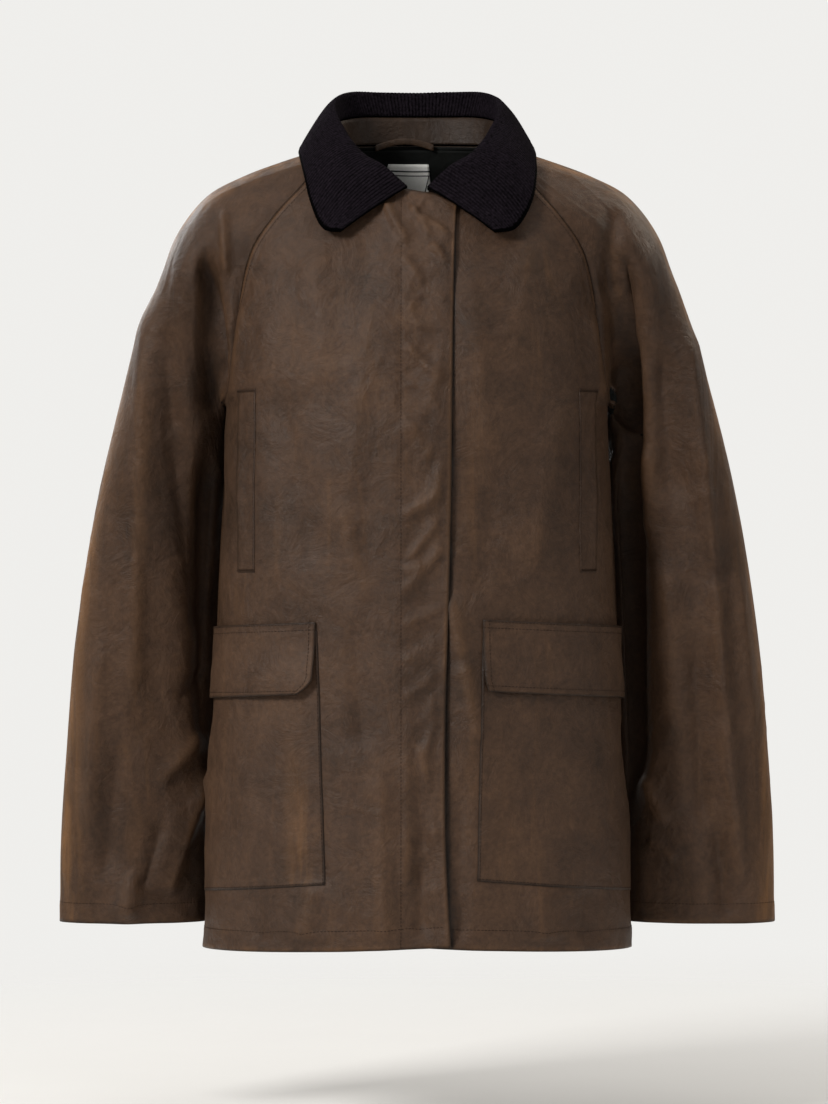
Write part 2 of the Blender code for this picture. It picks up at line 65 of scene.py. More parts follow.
DARK_BROWN = (0.034, 0.0190, 0.0115)
BROWN = (0.066, 0.0350, 0.0200)
LIGHT_BROWN = (0.098, 0.0520, 0.0285)
RUBBED_AND_PAINTED_HIGHLIGHT = (0.27, 0.128, 0.046)  # where the wax is worn through, and the painted highlight along the sleeves' outer edges

# The flat cut of each piece in metres: width, length and area.
FLAT = {
    "front_right": (0.34, 0.77, 0.214),
    "front_left": (0.32, 0.77, 0.201),
    "back": (0.52, 0.79, 0.318),
    "sleeve_front": (0.24, 0.86, 0.128),
    "sleeve_back": (0.25, 0.87, 0.134),
    "collar_stand": (0.47, 0.03, 0.0082),
    "collar_fall": (0.62, 0.125, 0.0487),
    "patch_pocket_right": (0.21, 0.255, 0.0485),
    "patch_pocket_left": (0.24, 0.255, 0.0562),
    "pocket_flap_right": (0.19, 0.08, 0.0130),
    "pocket_flap_left": (0.22, 0.08, 0.0154),
    "hand_pocket_welt": (0.032, 0.175, 0.0046),
    "back_lining": (0.30, 0.13, 0.0293),
    "label": (0.052, 0.046, 0.0022),
    "hanger_loop": (0.06, 0.01, 0.00034),
}

PLACKET_X = -15.0  # the stitching that holds the fly, down the wearer's right front
FLAP_CLOTH = 1.2
WELT_CLOTH = 0.5
CREASE_SCALE = 3.0  # how much deeper the small creases are than their tables say
BODY_STANDS_OUT, SLEEVE_STANDS_OUT = 1.2, 2.6  # at the side and underarm seams
POCKET_WEAR = {RIGHT: 0.4, LEFT: 0.1}  # how worn a pocket is beside its inner edge
OVERARM_WEAR_AND_PAINTED_HIGHLIGHT = 27.0  # how far from the overarm seam the wax is worn, with a painted highlight along the sleeve's outer edge
LAID_CLOTH, FLUSH = 0.8, 1.25  # a pocket laid on a front: how thick it shows, and how far out it lies
FLAP_CORNER = {RIGHT: 13.0, LEFT: 2.5}  # how far the flap's lower inner corner is cut back

# The studio, in metres.
CAMERA_X, CAMERA_Z, CAMERA_DISTANCE, FRAME_WIDTH = -0.003, -0.385, 4.0, 0.787
FLOOR_Z, FLOOR_RADIUS, FLOOR_FADES = -0.93, 2.0, 0.35
AMBIENT, SURROUNDINGS = 0.27, (0.866, 0.858, 0.836)  # light from all round, and the colour behind
LIGHTS = [
    ("key", (-2.3, -2.3, 1.4), (0, 0, -0.35), (1.0, 1.0), 106, (1.0, 0.98, 0.945)),
    ("fill", (2.2, -2.4, 0.2), (0, 0, -0.4), (1.6, 2.0), 15, (1.0, 0.98, 0.95)),
    ("rim", (1.9, 1.5, 1.5), (0.1, 0, -0.3), (1.2, 1.2), 26, (1.0, 0.90, 0.76)),
    ("behind", (-1.6, 2.4, 0.9), (0, 0, -0.4), (1.6, 1.6), 24, (1.0, 1.0, 1.0)),
    ("top", (0.0, -0.4, 2.2), (0, 0, -0.3), (2.2, 1.4), 15, (1.0, 0.99, 0.97)),
]

def table(columns, rows):
    """A short table as a dictionary of its named columns."""
    return dict(zip(columns.split(), np.array(rows, float).T))


BODY = table("z half_width front back squareness", [
    (12, 70, 32, 64, 2.1),
    (0, 88, 38, 70, 2.1),
    (-14, 118, 47, 77, 2.1),
    (-30, 150, 58, 85, 2.2),
    (-50, 171, 70, 94, 2.3),
    (-80, 177, 86, 104, 2.4),
    (-120, 177, 102, 114, 2.4),
    (-180, 177, 117, 121, 2.4),
    (-250, 180, 127, 123, 2.4),
    (-320, 185, 131, 121, 2.4),
    (-400, 190, 134, 122, 2.35),
    (-600, 197, 141, 130, 2.3),
    (-775, 203, 148, 142, 2.25),
])
# Heights of the rows of cloth below the underarm: at the front edge, the side seam and the centre back.
ROWS = table("front side back", [
    (-747, -760, -770),  # hem
    (-713, -735, -742),
    (-679, -709, -716),  # bottom of the patch pockets
    (-636, -663, -670),
    (-593, -617, -624),
    (-550, -571, -578),
    (-508, -526, -532),  # bottom of the flaps
    (-475, -491, -497),
    (-443, -458, -462),  # top of the flaps
    (-405, -415, -418),
    (-366, -373, -375),
    (-328, -331, -332),
    (-290, -289, -290),
])
RIGHT_EDGE = table("z x", [
    (-747, 31),
    (-650, 26.5),
    (-560, 26),
    (-400, 30),
    (-240, 32),
    (-100, 34),
    (-40, 35),
])
RAGLAN_FRONT = table("angle z", [
    (SIDE_SEAM, UNDERARM_Z),
    (90, -245),
    (81, -234),
    (76, -195),
    (73, -143),
    (70.5, -108),
    (66.5, -76),
    (64, -44),
    (66, -12),
])
RAGLAN_BACK = table("angle z", [
    (SIDE_SEAM, UNDERARM_Z),
    (104, -238),
    (107, -205),
    (110, -160),
    (114, -118),
    (118.5, -80),
    (122, -45),
    (124, -20),
    (125.5, 4),
])
# The overarm seam is the sleeve's outer edge and the underarm seam its inner one. Front and back are how far
# the cloth stands off the plane between them.
SLEEVE = table("along over_x over_y over_z under_x under_y under_z front back", [
    (0, 81, 2, 0, 175.4, 30.9, UNDERARM_Z, 60, 60),
    (47, 126, 2, -14, 180.8, 35, -247, 60, 60),
    (90, 166, 3, -29, 181.2, 39, -248.5, 61, 60),
    (127, 198, 5, -46, 181, 42, -251, 62, 61),
    (151, 214.5, 7, -63, 180.6, 44, -254, 62, 62),
    (177, 229, 9, -85, 180.4, 46, -259, 63, 62),
    (212, 241.5, 12, -117, 181, 48, -268, 63, 63),
    (273, 263, 17, -175, 182.4, 50, -286, 63, 63),
    (342, 282, 22, -241, 183, 52, -314, 62, 62),
    (420, 301, 27, -317, 186, 53, -360, 60, 60),
    (508, 317, 32, -403, 190, 53, -428, 57, 58),
    (594, 328.5, 36, -488, 193.5, 53, -504, 53, 54),
    (680, 335.5, 39, -574, 196.5, 53, -584, 48, 49),
    (765, 341, 41, -660, 199, 53, -665, 42, 43),
    (843, 342, 42, -739, 201, 53, -739, 37, 38),
])
SLEEVE_SQUARENESS = 2.2
SLEEVE_FREE = 300.0  # along the overarm, where the seam's shape has died out of the sleeve

# The collar from its front end to the centre back: its roll line and outer edge. Crown is how much the fall
# rounds over, from 0 for a straight edge; fuller is how much further the left leaf's edge reaches.
COLLAR = table("roll_x roll_y roll_z edge_x edge_y edge_z crown fuller", [
    (10, -79, -45, 71, -99, -88, 0.1, 1),
    (31, -75, -26, 88, -93, -84, 0.4, 4),
    (50, -64, -14, 99, -77, -60, 0.7, 7),
    (62, -51, 0, 105, -58, -34, 0.8, 6),
    (70, -36, 14, 110, -34, -15, 0.7, 2),
    (77, -17, 29, 112, -6, -5, 0.6, 0),
    (79, 8, 42, 110, 22, -2, 0.6, 0),
    (74, 34, 51, 101, 52, -3, 0.7, 0),
    (60, 54, 57, 80, 79, -12, 0.9, 0),
    (32, 67, 58, 44, 92, -20, 1.0, 0),
    (0, 70, 58, 0, 96, -22, 1.0, 0),
])
STAND_CLEAR = 2.2  # from the neckline to the stand's lower edge
STAND_ROWS = (0.0, 0.27, 0.54)  # 0 is the neckline, 1 the roll line and 2 the outer edge
FALL_ROWS = (0.57, 0.78, 1.0, 1.12, 1.3, 1.55, 1.8, 2.0)

POCKET_ROWS, FLAP_ROWS = (2, 7.8), (6, 8)  # from the hem, bottom and top
# Inner edges of the pockets and flaps and both edges of the welts, as x on the front, at the bottom and top.
POCKETS = table("side pocket_bottom pocket_top flap_bottom flap_top welt_inner welt_outer", [
    (RIGHT, 84, 92, 94, 93, 150, 166),
    (LEFT, 55, 60, 61, 59.5, 150, 166),
])
POCKET_BACK_EDGE = 0.6  # of a column in front of the side seam
FLAP_LIFT = {RIGHT: 5.0, LEFT: 1.5}  # how far the flap's inner corner stands up

WELT_Z, WELT_ROWS, WELT_COLUMNS = (-404, -233), 6, 4

LINING_ROWS, LINING_GAP = 5, 1.2  # how many rows of the back it covers, and how far inside it hangs
LABEL_X, LABEL_Z = (-30, 12), (-53, -8.5)
LOOP_X, LOOP_ARCH, LOOP_WIDTH, LOOP_OUT = (-40, 16), 6.0, 6.0, 4.0

# The largest soft folds, by where they run as seen from the front. Height is towards the front of a front
# fold or the back of a back one, and away from it where negative.
FRONT_FOLDS = table("x0 z0 x1 z1 width height0 height1", [
    (184, -62, 179, -140, 9, -5, -12),
    (182, -135, 197, -262, 10, -12, -22),
    (195, -290, 203, -660, 11, -22, -8),
    (-197, -100, -198, -250, 10, -6, -16),
    (-196, -290, -204, -520, 9, -10, -4),
    (-214, -90, -206, -300, 16, 3, 6),
    (216, -90, 214, -330, 18, 3, 7),
    (-150, -120, -120, -430, 30, 3, 4),
    (96, -130, 118, -400, 30, 4, 3),
    (56, -360, 46, -740, 26, 4, 6),
    (-52, -430, -62, -745, 28, 4, 6),
    (-270, -330, -246, -560, 20, -5, -5),
    (-206, -610, -282, -735, 15, 7, 5),
    (236, -360, 262, -700, 24, 4, 4),
])
BACK_FOLDS = table("x0 z0 x1 z1 width height0 height1", [
    (190, -70, 199, -256, 12, -6, -18),
    (-194, -80, -199, -256, 11, -5, -17),
    (-120, -90, -96, -420, 34, 4, 4),
    (128, -110, 92, -460, 32, 4, 3),
    (-58, -380, -72, -755, 30, 4, 7),
    (20, -330, 34, -755, 26, -3, -6),
    (96, -420, 118, -755, 28, 3, 6),
    (-262, -300, -286, -620, 22, -5, -4),
    (258, -340, 280, -640, 24, 4, 5),
])

# Smaller folds, as they run across the cloth seen from the front. Height is out of the jacket.
FRONT_CREASES = table("x0 z0 x1 z1 width height0 height1", [
    # The placket and the front edge.
    (-30, -60, -10, -98, 4, 2.4, 1.2),
    (-6, -62, 12, -92, 3.5, 2.0, 0.9),
    (4, -74, 31, -92, 4, 2.2, 1.6),
    (12, -100, 30, -118, 4, 1.6, 1.0),
    (-14, -150, 8, -176, 6, 0.8, 0.4),
    (24, -200, 6, -262, 8, 1.0, 0.6),
    (-14, -424, 26, -378, 6, 1.6, 1.0),
    (-11, -452, 22, -438, 5, 1.2, 0.8),
    (-12, -486, 20, -466, 7, 0.9, 0.6),
    (3, -562, 11, -603, 4, 1.3, 0.7),
    (16, -540, 8, -572, 4, 1.1, 0.9),
    (6, -640, 3, -734, 9, -1.6, -2.2),
    (-10, -560, -8, -690, 8, 1.0, 1.4),
    (-34, -580, -30, -744, 12, 1.6, 2.4),
    (-13, -112, 6, -136, 4, 1.4, 0.6),
    (-10, -196, 24, -228, 5, 1.2, 1.0),
    (-12, -262, 14, -300, 5, 1.0, 0.8),
    (28, -300, 8, -346, 6, 1.2, 0.9),
    (-12, -352, 24, -330, 5, 1.3, 0.9),
    (-8, -392, 20, -356, 4, 1.6, 1.2),
    (-12, -404, 4, -396, 4, 1.2, 0.8),
    (-13, -520, 16, -500, 5, 1.1, 0.8),
    (20, -640, 2, -668, 5, 1.0, 0.7),
    # The wearer's right front.
    (-40, -150, -62, -330, 22, 2.2, 1.4),
    (-96, -110, -84, -230, 18, 1.8, 0.8),
    (-128, -236, -96, -390, 14, -1.4, -1.8),
    (-70, -340, -48, -430, 12, 1.4, 0.8),
    (-58, -452, -50, -560, 14, -1.2, -1.8),
    (-96, -690, -104, -742, 12, 1.8, 2.4),
    (-150, -700, -146, -744, 14, -1.4, -2.0),
    (-166, -150, -172, -236, 7, 2.4, 1.6),
    # The wearer's left front.
    (30, -428, 42, -480, 9, 1.4, 2.0),
    (42, -482, 57, -560, 9, 2.0, 1.0),
    (48, -130, 70, -300, 24, 2.0, 1.6),
    (104, -96, 92, -200, 16, 1.6, 0.8),
    (132, -250, 104, -404, 14, 1.6, 1.2),
    (70, -330, 60, -420, 14, -1.2, -1.4),
    (40, -600, 38, -740, 12, -1.4, -2.2),
    (112, -694, 118, -744, 14, 1.8, 2.2),
    (160, -696, 156, -744, 12, -1.2, -1.8),
    (163, -160, 172, -240, 7, 2.0, 1.4),
    # Where the sleeves turn in beside the body.
    (196, -112, 200, -300, 9, -5, -8),
    (200, -300, 207, -600, 10, -8, -5),
    (-199, -108, -182, -226, 7, -4, -7),
    (-181, -64, -179, -124, 4, 2.0, 1.6),
    (-196, -300, -202, -560, 9, -6, -3),
    # The right sleeve.
    (-238, -176, -231, -270, 13, -1.6, -2.8),
    (-231, -270, -216, -400, 13, -2.8, -2.2),
    (-216, -400, -206, -456, 11, -2.2, -1.0),
    (-254, -150, -262, -330, 12, 2.0, 3.0),
    (-262, -330, -272, -520, 14, 3.0, 1.6),
    (-197, -596, -212, -632, 6, 1.6, 2.4),
    (-212, -632, -224, -666, 6, 2.4, 2.0),
    (-224, -666, -236, -708, 7, 2.0, 1.2),
    (-243, -640, -259, -704, 8, -2.2, -3.0),
    (-206, -560, -244, -604, 9, 2.0, 1.4),
    (-282, -560, -298, -690, 12, -2.0, -2.6),
    (-300, -470, -312, -640, 9, 1.8, 2.2),
    (-270, -690, -276, -738, 9, 1.6, 2.4),
    (-198, -500, -226, -526, 8, -1.6, -1.0),
    # The left sleeve.
    (254, -178, 271, -322, 8, 2.2, 3.2),
    (271, -322, 280, -400, 8, 3.2, 2.4),
    (280, -404, 290, -530, 9, 2.4, 3.0),
    (290, -530, 308, -690, 9, 3.0, 2.2),
    (214, -286, 216, -366, 9, 1.6, 1.2),
    (232, -200, 240, -330, 12, -2.4, -2.6),
    (236, -400, 244, -560, 14, 2.2, 1.4),
    (262, -470, 272, -640, 9, -2.0, -2.4),
    (222, -660, 246, -676, 5, 1.4, 1.0),
    (214, -600, 236, -640, 8, 1.8, 1.4),
    (304, -410, 320, -560, 7, 1.8, 1.2),
    (284, -640, 294, -734, 8, -1.8, -2.2),
])
BACK_CREASES = table("x0 z0 x1 z1 width height0 height1", [
    (-60, -60, -120, -170, 20, 1.8, 1.2),
    (66, -70, 118, -190, 18, 1.6, 1.4),
    (-30, -150, -44, -340, 24, 1.4, 2.0),
    (36, -170, 52, -330, 20, -1.4, -1.2),
    (-140, -240, -100, -330, 12, 2.2, 1.2),
    (146, -236, 96, -350, 12, 2.0, 1.4),
    (0, -300, 8, -470, 18, 1.6, 2.0),
    (-96, -470, -84, -620, 16, 1.6, 1.2),
    (70, -500, 80, -700, 16, 1.8, 2.4),
    (-20, -540, -26, -750, 14, -1.6, -2.6),
    (-130, -600, -140, -750, 14, 2.0, 2.6),
    (130, -620, 150, -752, 12, -1.4, -2.0),
    (-60, -400, -20, -424, 9, 1.2, 0.8),
    (40, -420, 90, -440, 8, 1.2, 0.6),
    (-168, -140, -178, -236, 8, 2.2, 1.6),
    (170, -150, 178, -240, 8, 2.4, 1.4),
    (-236, -160, -246, -330, 12, -2.4, -3.4),
    (-250, -330, -262, -520, 13, 2.6, 2.0),
    (-206, -480, -246, -520, 9, 2.4, 1.6),
    (-210, -520, -262, -566, 8, -2.0, -1.4),
    (-204, -600, -228, -690, 8, 2.6, 3.0),
    (-288, -470, -304, -650, 9, 2.0, 2.4),
    (-262, -640, -274, -734, 8, -2.0, -2.4),
    (240, -170, 254, -330, 12, 2.6, 3.0),
    (222, -300, 230, -420, 10, -2.4, -2.0),
    (206, -470, 250, -506, 8, 2.4, 1.4),
    (210, -540, 268, -580, 9, 1.8, 1.2),
    (214, -600, 232, -700, 8, -2.2, -2.6),
    (286, -450, 304, -640, 9, 2.2, 2.6),
    (262, -620, 272, -730, 8, 1.8, 2.4),
])


def smooth(at, knots, values):
    """A cubic curve through the knots of a table."""
    slopes = np.gradient(values, knots)
    first = np.clip(np.searchsorted(knots, at) - 1, 0, len(knots) - 2)
    step = knots[first + 1] - knots[first]
    t = np.clip((at - knots[first]) / step, 0, 1)
    start, end = values[first], values[first + 1]
    bend = t * (1 - t) * ((1 - t) * slopes[first] - t * slopes[first + 1]) * step
    return start + (end - start) * t * t * (3 - 2 * t) + bend


def smoothstep(t):
    t = np.clip(t, 0, 1)
    return t * t * (3 - 2 * t)


def unit(vectors):
    return vectors / np.linalg.norm(vectors, axis=-1, keepdims=True)


def body_point(angle, z):
    """The body's cloth at an angle in degrees from the centre front, turning towards the wearer's left."""
    angle, z = np.broadcast_arrays(np.asarray(angle, float), np.asarray(z, float))
    rising = {name: values[::-1] for name, values in BODY.items()}
    half, front, back, power = (
        smooth(z, rising["z"], rising[name]) for name in ("half_width", "front", "back", "squareness")
    )
    sine, cosine = np.sin(np.radians(angle)), np.cos(np.radians(angle))
    depth = np.where(cosine >= 0, front, back)
    radius = (np.abs(sine / half) ** power + np.abs(cosine / depth) ** power) ** (-1 / power)
    return np.stack([radius * sine, -radius * cosine, z], axis=-1)


def angle_at(x, z):
    """The angle round the front of the body at which its cloth is x from the middle."""
    rising = {name: values[::-1] for name, values in BODY.items()}
    names = ("half_width", "front", "squareness")
    half, front, power = (smooth(z, rising["z"], rising[name]) for name in names)
    share = np.clip(np.abs(x) / half, 0, 0.9999)
    return np.degrees(np.arctan2(x, front * (1 - share ** power) ** (1 / power)))


def evenly(path, count):
    """Where count + 1 evenly spaced points lie along a path of points, as shares of its index."""
    lengths = np.concatenate([[0], np.cumsum(np.linalg.norm(np.diff(path, axis=0), axis=1))])
    return np.interp(np.linspace(0, lengths[-1], count + 1), lengths, np.linspace(0, 1, len(path)))


def raglan(seam):
    """Angles and heights of evenly spaced points up a raglan seam."""
    knots = np.linspace(0, 1, len(seam["z"]))
    fine = np.linspace(0, 1, 1200)
    path = body_point(smooth(fine, knots, seam["angle"]), smooth(fine, knots, seam["z"]))
    at = evenly(path, SEAM_STEPS)
    return smooth(at, knots, seam["angle"]), smooth(at, knots, seam["z"])


def body_heights(column, underarm):
    """Heights of the fine rows below the underarm."""
    knots = np.append(ROWS[column], underarm)
    at = np.linspace(0, len(knots) - 1, (len(knots) - 1) * BODY_FINE + 1)[:-1]
    return smooth(at, np.arange(len(knots)), knots)


def side_line(seam):
    """Angles and heights up the side seam and then the raglan seam, a row of the grid at each."""
    angles, heights = raglan(seam)
    below = body_heights("side", UNDERARM_Z)
    return np.concatenate([np.full(len(below), SIDE_SEAM), angles]), np.concatenate([below, heights])


def centre_line(column, top):
    """Heights of the rows at the front edge or the centre back."""
    above = np.linspace(UNDERARM_Z - 4, top, SEAM_STEPS + 1)
    return np.concatenate([body_heights(column, UNDERARM_Z - 4), above])


def normals(grid):
    """The cloth's normal at each point of a grid of rows and columns."""
    return unit(np.cross(np.gradient(grid, axis=1), np.gradient(grid, axis=0)))


def fold_heights(grid, folds, sharpness=2.0):
    """How high the folds stand at each point of the cloth, as they run across it seen from the front."""
    height = np.zeros(grid.shape[:-1])
    for x0, z0, x1, z1, width, start, end in zip(*folds.values()):
        run = np.array([x1 - x0, z1 - z0])
        offset = grid[..., [0, 2]] - (x0, z0)
        t = offset @ run / (run @ run)
        across = (offset[..., 0] * run[1] - offset[..., 1] * run[0]) / np.hypot(*run)
        taper = smoothstep((t + 0.12) / 0.3) * smoothstep((1.12 - t) / 0.24)
        rise = (start + (end - start) * np.clip(t, 0, 1)) * taper
        height += rise * np.exp(-(np.abs(across / width) ** sharpness))
    return height


def folded(grid, folds, towards, loose):
    """The grid with its largest folds, towards the front, -1, or the back, 1.

    Seams hold it where loose is 0.
    """
    turned = smoothstep(np.abs(normals(grid)[..., 1]) * 1.6)
    moved = grid.copy()
    moved[..., 1] += towards * fold_heights(grid, folds) * turned * loose
    return moved


def front_grid(side):
    """A front, from its edge past the centre to the side seam, up to the neckline and the raglan seam."""
    angles, heights = side_line(RAGLAN_FRONT)
    share = np.linspace(0, 1, FRONT_STEPS + 1)
    rows = []
    for row, (angle, height, edge_z) in enumerate(zip(angles, heights, centre_line("front", NECK_EDGE_Z))):
        edge_x = smooth(edge_z, RIGHT_EDGE["z"], RIGHT_EDGE["x"]) if side == RIGHT else -LEFT_EDGE_X
        edge_angle = -angle_at(edge_x, edge_z)
        at_neck = (row / (len(angles) - 1)) ** 5
        z = edge_z + (height - edge_z) * share ** (1 + 1.2 * at_neck)
        if side == RIGHT:
            z = z - LAP_CORNER * at_neck ** 2 * smoothstep(1 - share * 6)
        rows.append(body_point(edge_angle + (angle - edge_angle) * share, z))
    grid = np.array(rows)
    grid[..., 0] *= side
    loose = smoothstep((1 - share) / 0.09) * np.ones((len(rows), 1))
    grid = folded(grid, FRONT_FOLDS, -1, loose)
    if side == RIGHT:
        lap = LAP_RISE * smoothstep((LAP_BEGINS + grid[..., 0]) / (LAP_BEGINS - LAP_FULL))
        grid = grid + normals(grid) * side * lap[..., None]
    return grid


def back_grid():
    """The back, from the right side seam round to the left one."""
    angles, heights = side_line(RAGLAN_BACK)
    share = np.linspace(-1, 1, BACK_STEPS + 1)
    rows = [
        body_point(180 - (180 - angle) * share, z + (height - z) * share ** 2)
        for angle, height, z in zip(angles, heights, centre_line("back", NECK_BACK_Z))
    ]
    loose = smoothstep((1 - np.abs(share)) / 0.12) * np.ones((len(rows), 1))
    return folded(np.array(rows), BACK_FOLDS, 1, loose)


def sleeve_edge(seam):
    """The upper edge of the wearer's left sleeve, from the shoulder along the neck and down the raglan seam."""
    down = body_point(*raglan(seam))[::-1]
    shoulder = np.array([SLEEVE[f"over_{axis}"][0] for axis in "xyz"])
    share = np.linspace(0, 1, NECK_STEPS + 1)[:-1, None]
    outward = np.array([[2.0, 0, 0]]) * np.sin(share * math.pi)
    return np.concatenate([shoulder + (down[0] - shoulder) * share + outward, down])


def sleeve_grid(side, seam, towards):
    """Half a sleeve, from the overarm seam to the underarm seam; towards is -1 for the front half."""
    stations = np.linspace(0, SLEEVE["along"][-1], SLEEVE_STEPS + 1)
    edge = sleeve_edge(seam)
    lengths = np.concatenate([[0], np.cumsum(np.linalg.norm(np.diff(edge, axis=0), axis=1))])
    turn = math.pi * lengths / lengths[-1]
    cosine = np.sign(np.cos(turn)) * np.abs(np.cos(turn)) ** (2 / SLEEVE_SQUARENESS)
    tube_share, tube_depth = (1 - cosine) / 2, np.abs(np.sin(turn)) ** (2 / SLEEVE_SQUARENESS)
    rows = []
    for along in stations:
        row = {name: smooth(along, SLEEVE["along"], values) for name, values in SLEEVE.items()}
        over = np.array([row["over_x"], row["over_z"]])
        under = np.array([row["under_x"], row["under_z"]])
        length = np.hypot(*(under - over))
        run = (under - over) / length
        outward = np.array([-run[1], run[0]])
        if not rows:
            offset = edge[:, [0, 2]] - over
            seam_share, seam_bow = offset @ run / length, offset @ outward
            seam_depth = edge[:, 1] - (row["over_y"] + (row["under_y"] - row["over_y"]) * seam_share)
        free = smoothstep(along / SLEEVE_FREE)
        share = seam_share + (tube_share - seam_share) * free
        depth = towards * tube_depth * row["front" if towards < 0 else "back"]
        depth = seam_depth + (depth - seam_depth) * free
        plane = over + np.outer(share * length, run) + np.outer(seam_bow * (1 - free), outward)
        y = row["over_y"] + (row["under_y"] - row["over_y"]) * share + depth
        rows.append(np.stack([plane[:, 0], y, plane[:, 1]], axis=-1))
    grid = np.array(rows)
    grid[..., 0] *= side
    loose = smoothstep(stations / 24)[:, None] * smoothstep(tube_depth / 0.6)
    return folded(grid, FRONT_FOLDS if towards < 0 else BACK_FOLDS, towards, loose)


def neckline(grids):
    """The neck edges of the pieces as one path, from the collar's right end to its left one."""
    half = BACK_STEPS // 2
    halves = []
    for hand, back_columns in (("right", np.s_[: half + 1]), ("left", np.s_[: half - 1 : -1])):
        front = grids[f"front_{hand}"][-1]
        reach = np.abs(front[:, 0]) * np.sign(front[:, 0] * front[-1, 0])
        first = int(np.argmax(reach > COLLAR_END_X))
        t = (COLLAR_END_X - reach[first - 1]) / (reach[first] - reach[first - 1])
        halves.append(np.concatenate([
            [front[first - 1] + (front[first] - front[first - 1]) * t],
            front[first:],
            grids[f"sleeve_front_{hand}"][0, NECK_STEPS - 1 :: -1],
            grids[f"sleeve_back_{hand}"][0, 1 : NECK_STEPS + 1],
            grids["back"][-1, back_columns][1:],
        ]))
    return np.concatenate([halves[0], halves[1][-2::-1]])


def collar_grid(neck, across_rows, columns):
    """Rows of the collar: 0 is the neckline, 1 the roll line and 2 the outer edge."""
    share = np.linspace(0, 1, columns + 1)
    at = evenly(neck, columns) * (len(neck) - 1)
    base = np.stack([np.interp(at, np.arange(len(neck)), neck[:, axis]) for axis in range(3)], axis=-1)
    knots = np.linspace(0, 1, len(COLLAR["crown"]))
    from_end = np.clip(1 - np.abs(2 * share - 1), 0, 1)
    row = {name: smooth(from_end, knots, values) for name, values in COLLAR.items()}
    mirror = np.sign(2 * share - 1)
    roll = np.stack([row["roll_x"] * mirror, row["roll_y"], row["roll_z"]], axis=-1)
    edge_x = row["edge_x"] + row["fuller"] * (mirror == LEFT)
    edge = np.stack([edge_x * mirror, row["edge_y"], row["edge_z"]], axis=-1)
    straight = (roll + edge) / 2
    rounded = np.stack([*(roll + (edge - roll) * 0.55).T[:2], roll[:, 2]], axis=-1)
    over = straight + (rounded - straight) * row["crown"][:, None]
    height = np.linalg.norm(roll - base, axis=-1, keepdims=True)
    rows = []
    for across in across_rows:
        t = across - 1
        if across <= 1:
            rows.append(base + (roll - base) * np.maximum(across, STAND_CLEAR / height))
        else:
            rows.append(roll * (1 - t) ** 2 + over * 2 * t * (1 - t) + edge * t * t)
    return np.array(rows)


def sample(values, rows, columns):
    """Values of a grid at fractional rows and columns."""
    rows, columns = np.broadcast_arrays(np.asarray(rows, float), np.asarray(columns, float))
    row = np.clip(rows.astype(int), 0, values.shape[0] - 2)
    column = np.clip(columns.astype(int), 0, values.shape[1] - 2)
    up, along = (rows - row)[..., None], (columns - column)[..., None]
    low = values[row, column] * (1 - along) + values[row, column + 1] * along
    high = values[row + 1, column] * (1 - along) + values[row + 1, column + 1] * along
    return low * (1 - up) + high * up


def column_at(panel, side, row, x):
    """The column of a front at which its cloth is x from the middle, on a row."""
    line = sample(panel, row, np.arange(panel.shape[1]))[..., 0] * side
    widest = int(line.argmax()) + 1
    return np.interp(x, line[:widest], np.arange(widest))


def place_at(panel, side, x, z):
    """The row and column of a front at which its cloth is x from the middle, at a height."""
    row = 0.0
    for _ in range(6):
        column = column_at(panel, side, row, x)
        height = sample(panel, np.arange(panel.shape[0]), column)[:, 2]
        row = np.interp(z, height, np.arange(panel.shape[0]))
    return row, column


# Relief: what stands up from a panel's plain form, in millimetres.


def lengths(grid, axis):
    """How far along the cloth each point is, in the direction of an axis of the grid."""
    steps = np.linalg.norm(np.diff(grid, axis=axis), axis=-1)
    start = np.zeros_like(np.take(steps, [0], axis=axis))
    return np.concatenate([start, np.cumsum(steps, axis=axis)], axis=axis)


def edge_distances(grid):
    """The distance of each point from each edge of the grid, along the cloth."""
    up, along = lengths(grid, 0), lengths(grid, 1)
    return {
        "first_row": up,
        "last_row": up[-1:] - up,
        "first_column": along,
        "last_column": along[:, -1:] - along,
    }


def noise(u, v, cell, seed):
    """Smooth noise from -1 to 1, with cells of a size."""
    lattice = np.random.default_rng(seed).uniform(-1, 1, (128, 128))
    x, y = u / cell, v / cell
    column, row = np.floor(x).astype(int), np.floor(y).astype(int)
    tx, ty = smoothstep(x - column), smoothstep(y - row)
    low = lattice[row % 128, column % 128] * (1 - tx) + lattice[row % 128, (column + 1) % 128] * tx
    above = (row + 1) % 128
    high = lattice[above, column % 128] * (1 - tx) + lattice[above, (column + 1) % 128] * tx
    return low * (1 - ty) + high * ty


def crumple(u, v, seed):
    """The stiff cloth's small dents and the fine ridges between them."""
    tilt = 0.6
    a, b = u + v * tilt, v - u * tilt
    dents = 0.7 * noise(a, b, 52, seed) + 0.34 * noise(b, a, 23, seed + 1)
    net = (1 - np.abs(noise(a, b, 34, seed + 2))) ** 7 - 0.2
    fine = (1 - np.abs(noise(b, a, 15, seed + 3))) ** 5 - 0.25
    where = 0.5 + 0.5 * noise(u, v, 95, seed + 4)
    return dents + (1.0 * net + 0.4 * fine) * where


def stitched(distance, along, seed):
    """A stitch line's groove, with the cloth puckered beside it."""
    pucker = 0.32 * noise(along, distance * 0.2, 7, seed) * np.exp(-((distance / 6) ** 2))
    return pucker - 0.42 * np.exp(-((distance / 1.5) ** 2))


def blurred(values, passes):
    for _ in range(passes):
        wide = np.pad(values, 1, mode="edge")
        values = (wide[:-2, 1:-1] + wide[2:, 1:-1] + wide[1:-1, :-2] + wide[1:-1, 2:] + values) / 5
    return values


# Materials.


def socket(tree, value, target):
    """A value or another node's output, put into an input."""
    if isinstance(value, bpy.types.NodeSocket):
        tree.links.new(value, target)
    else:
        target.default_value = value


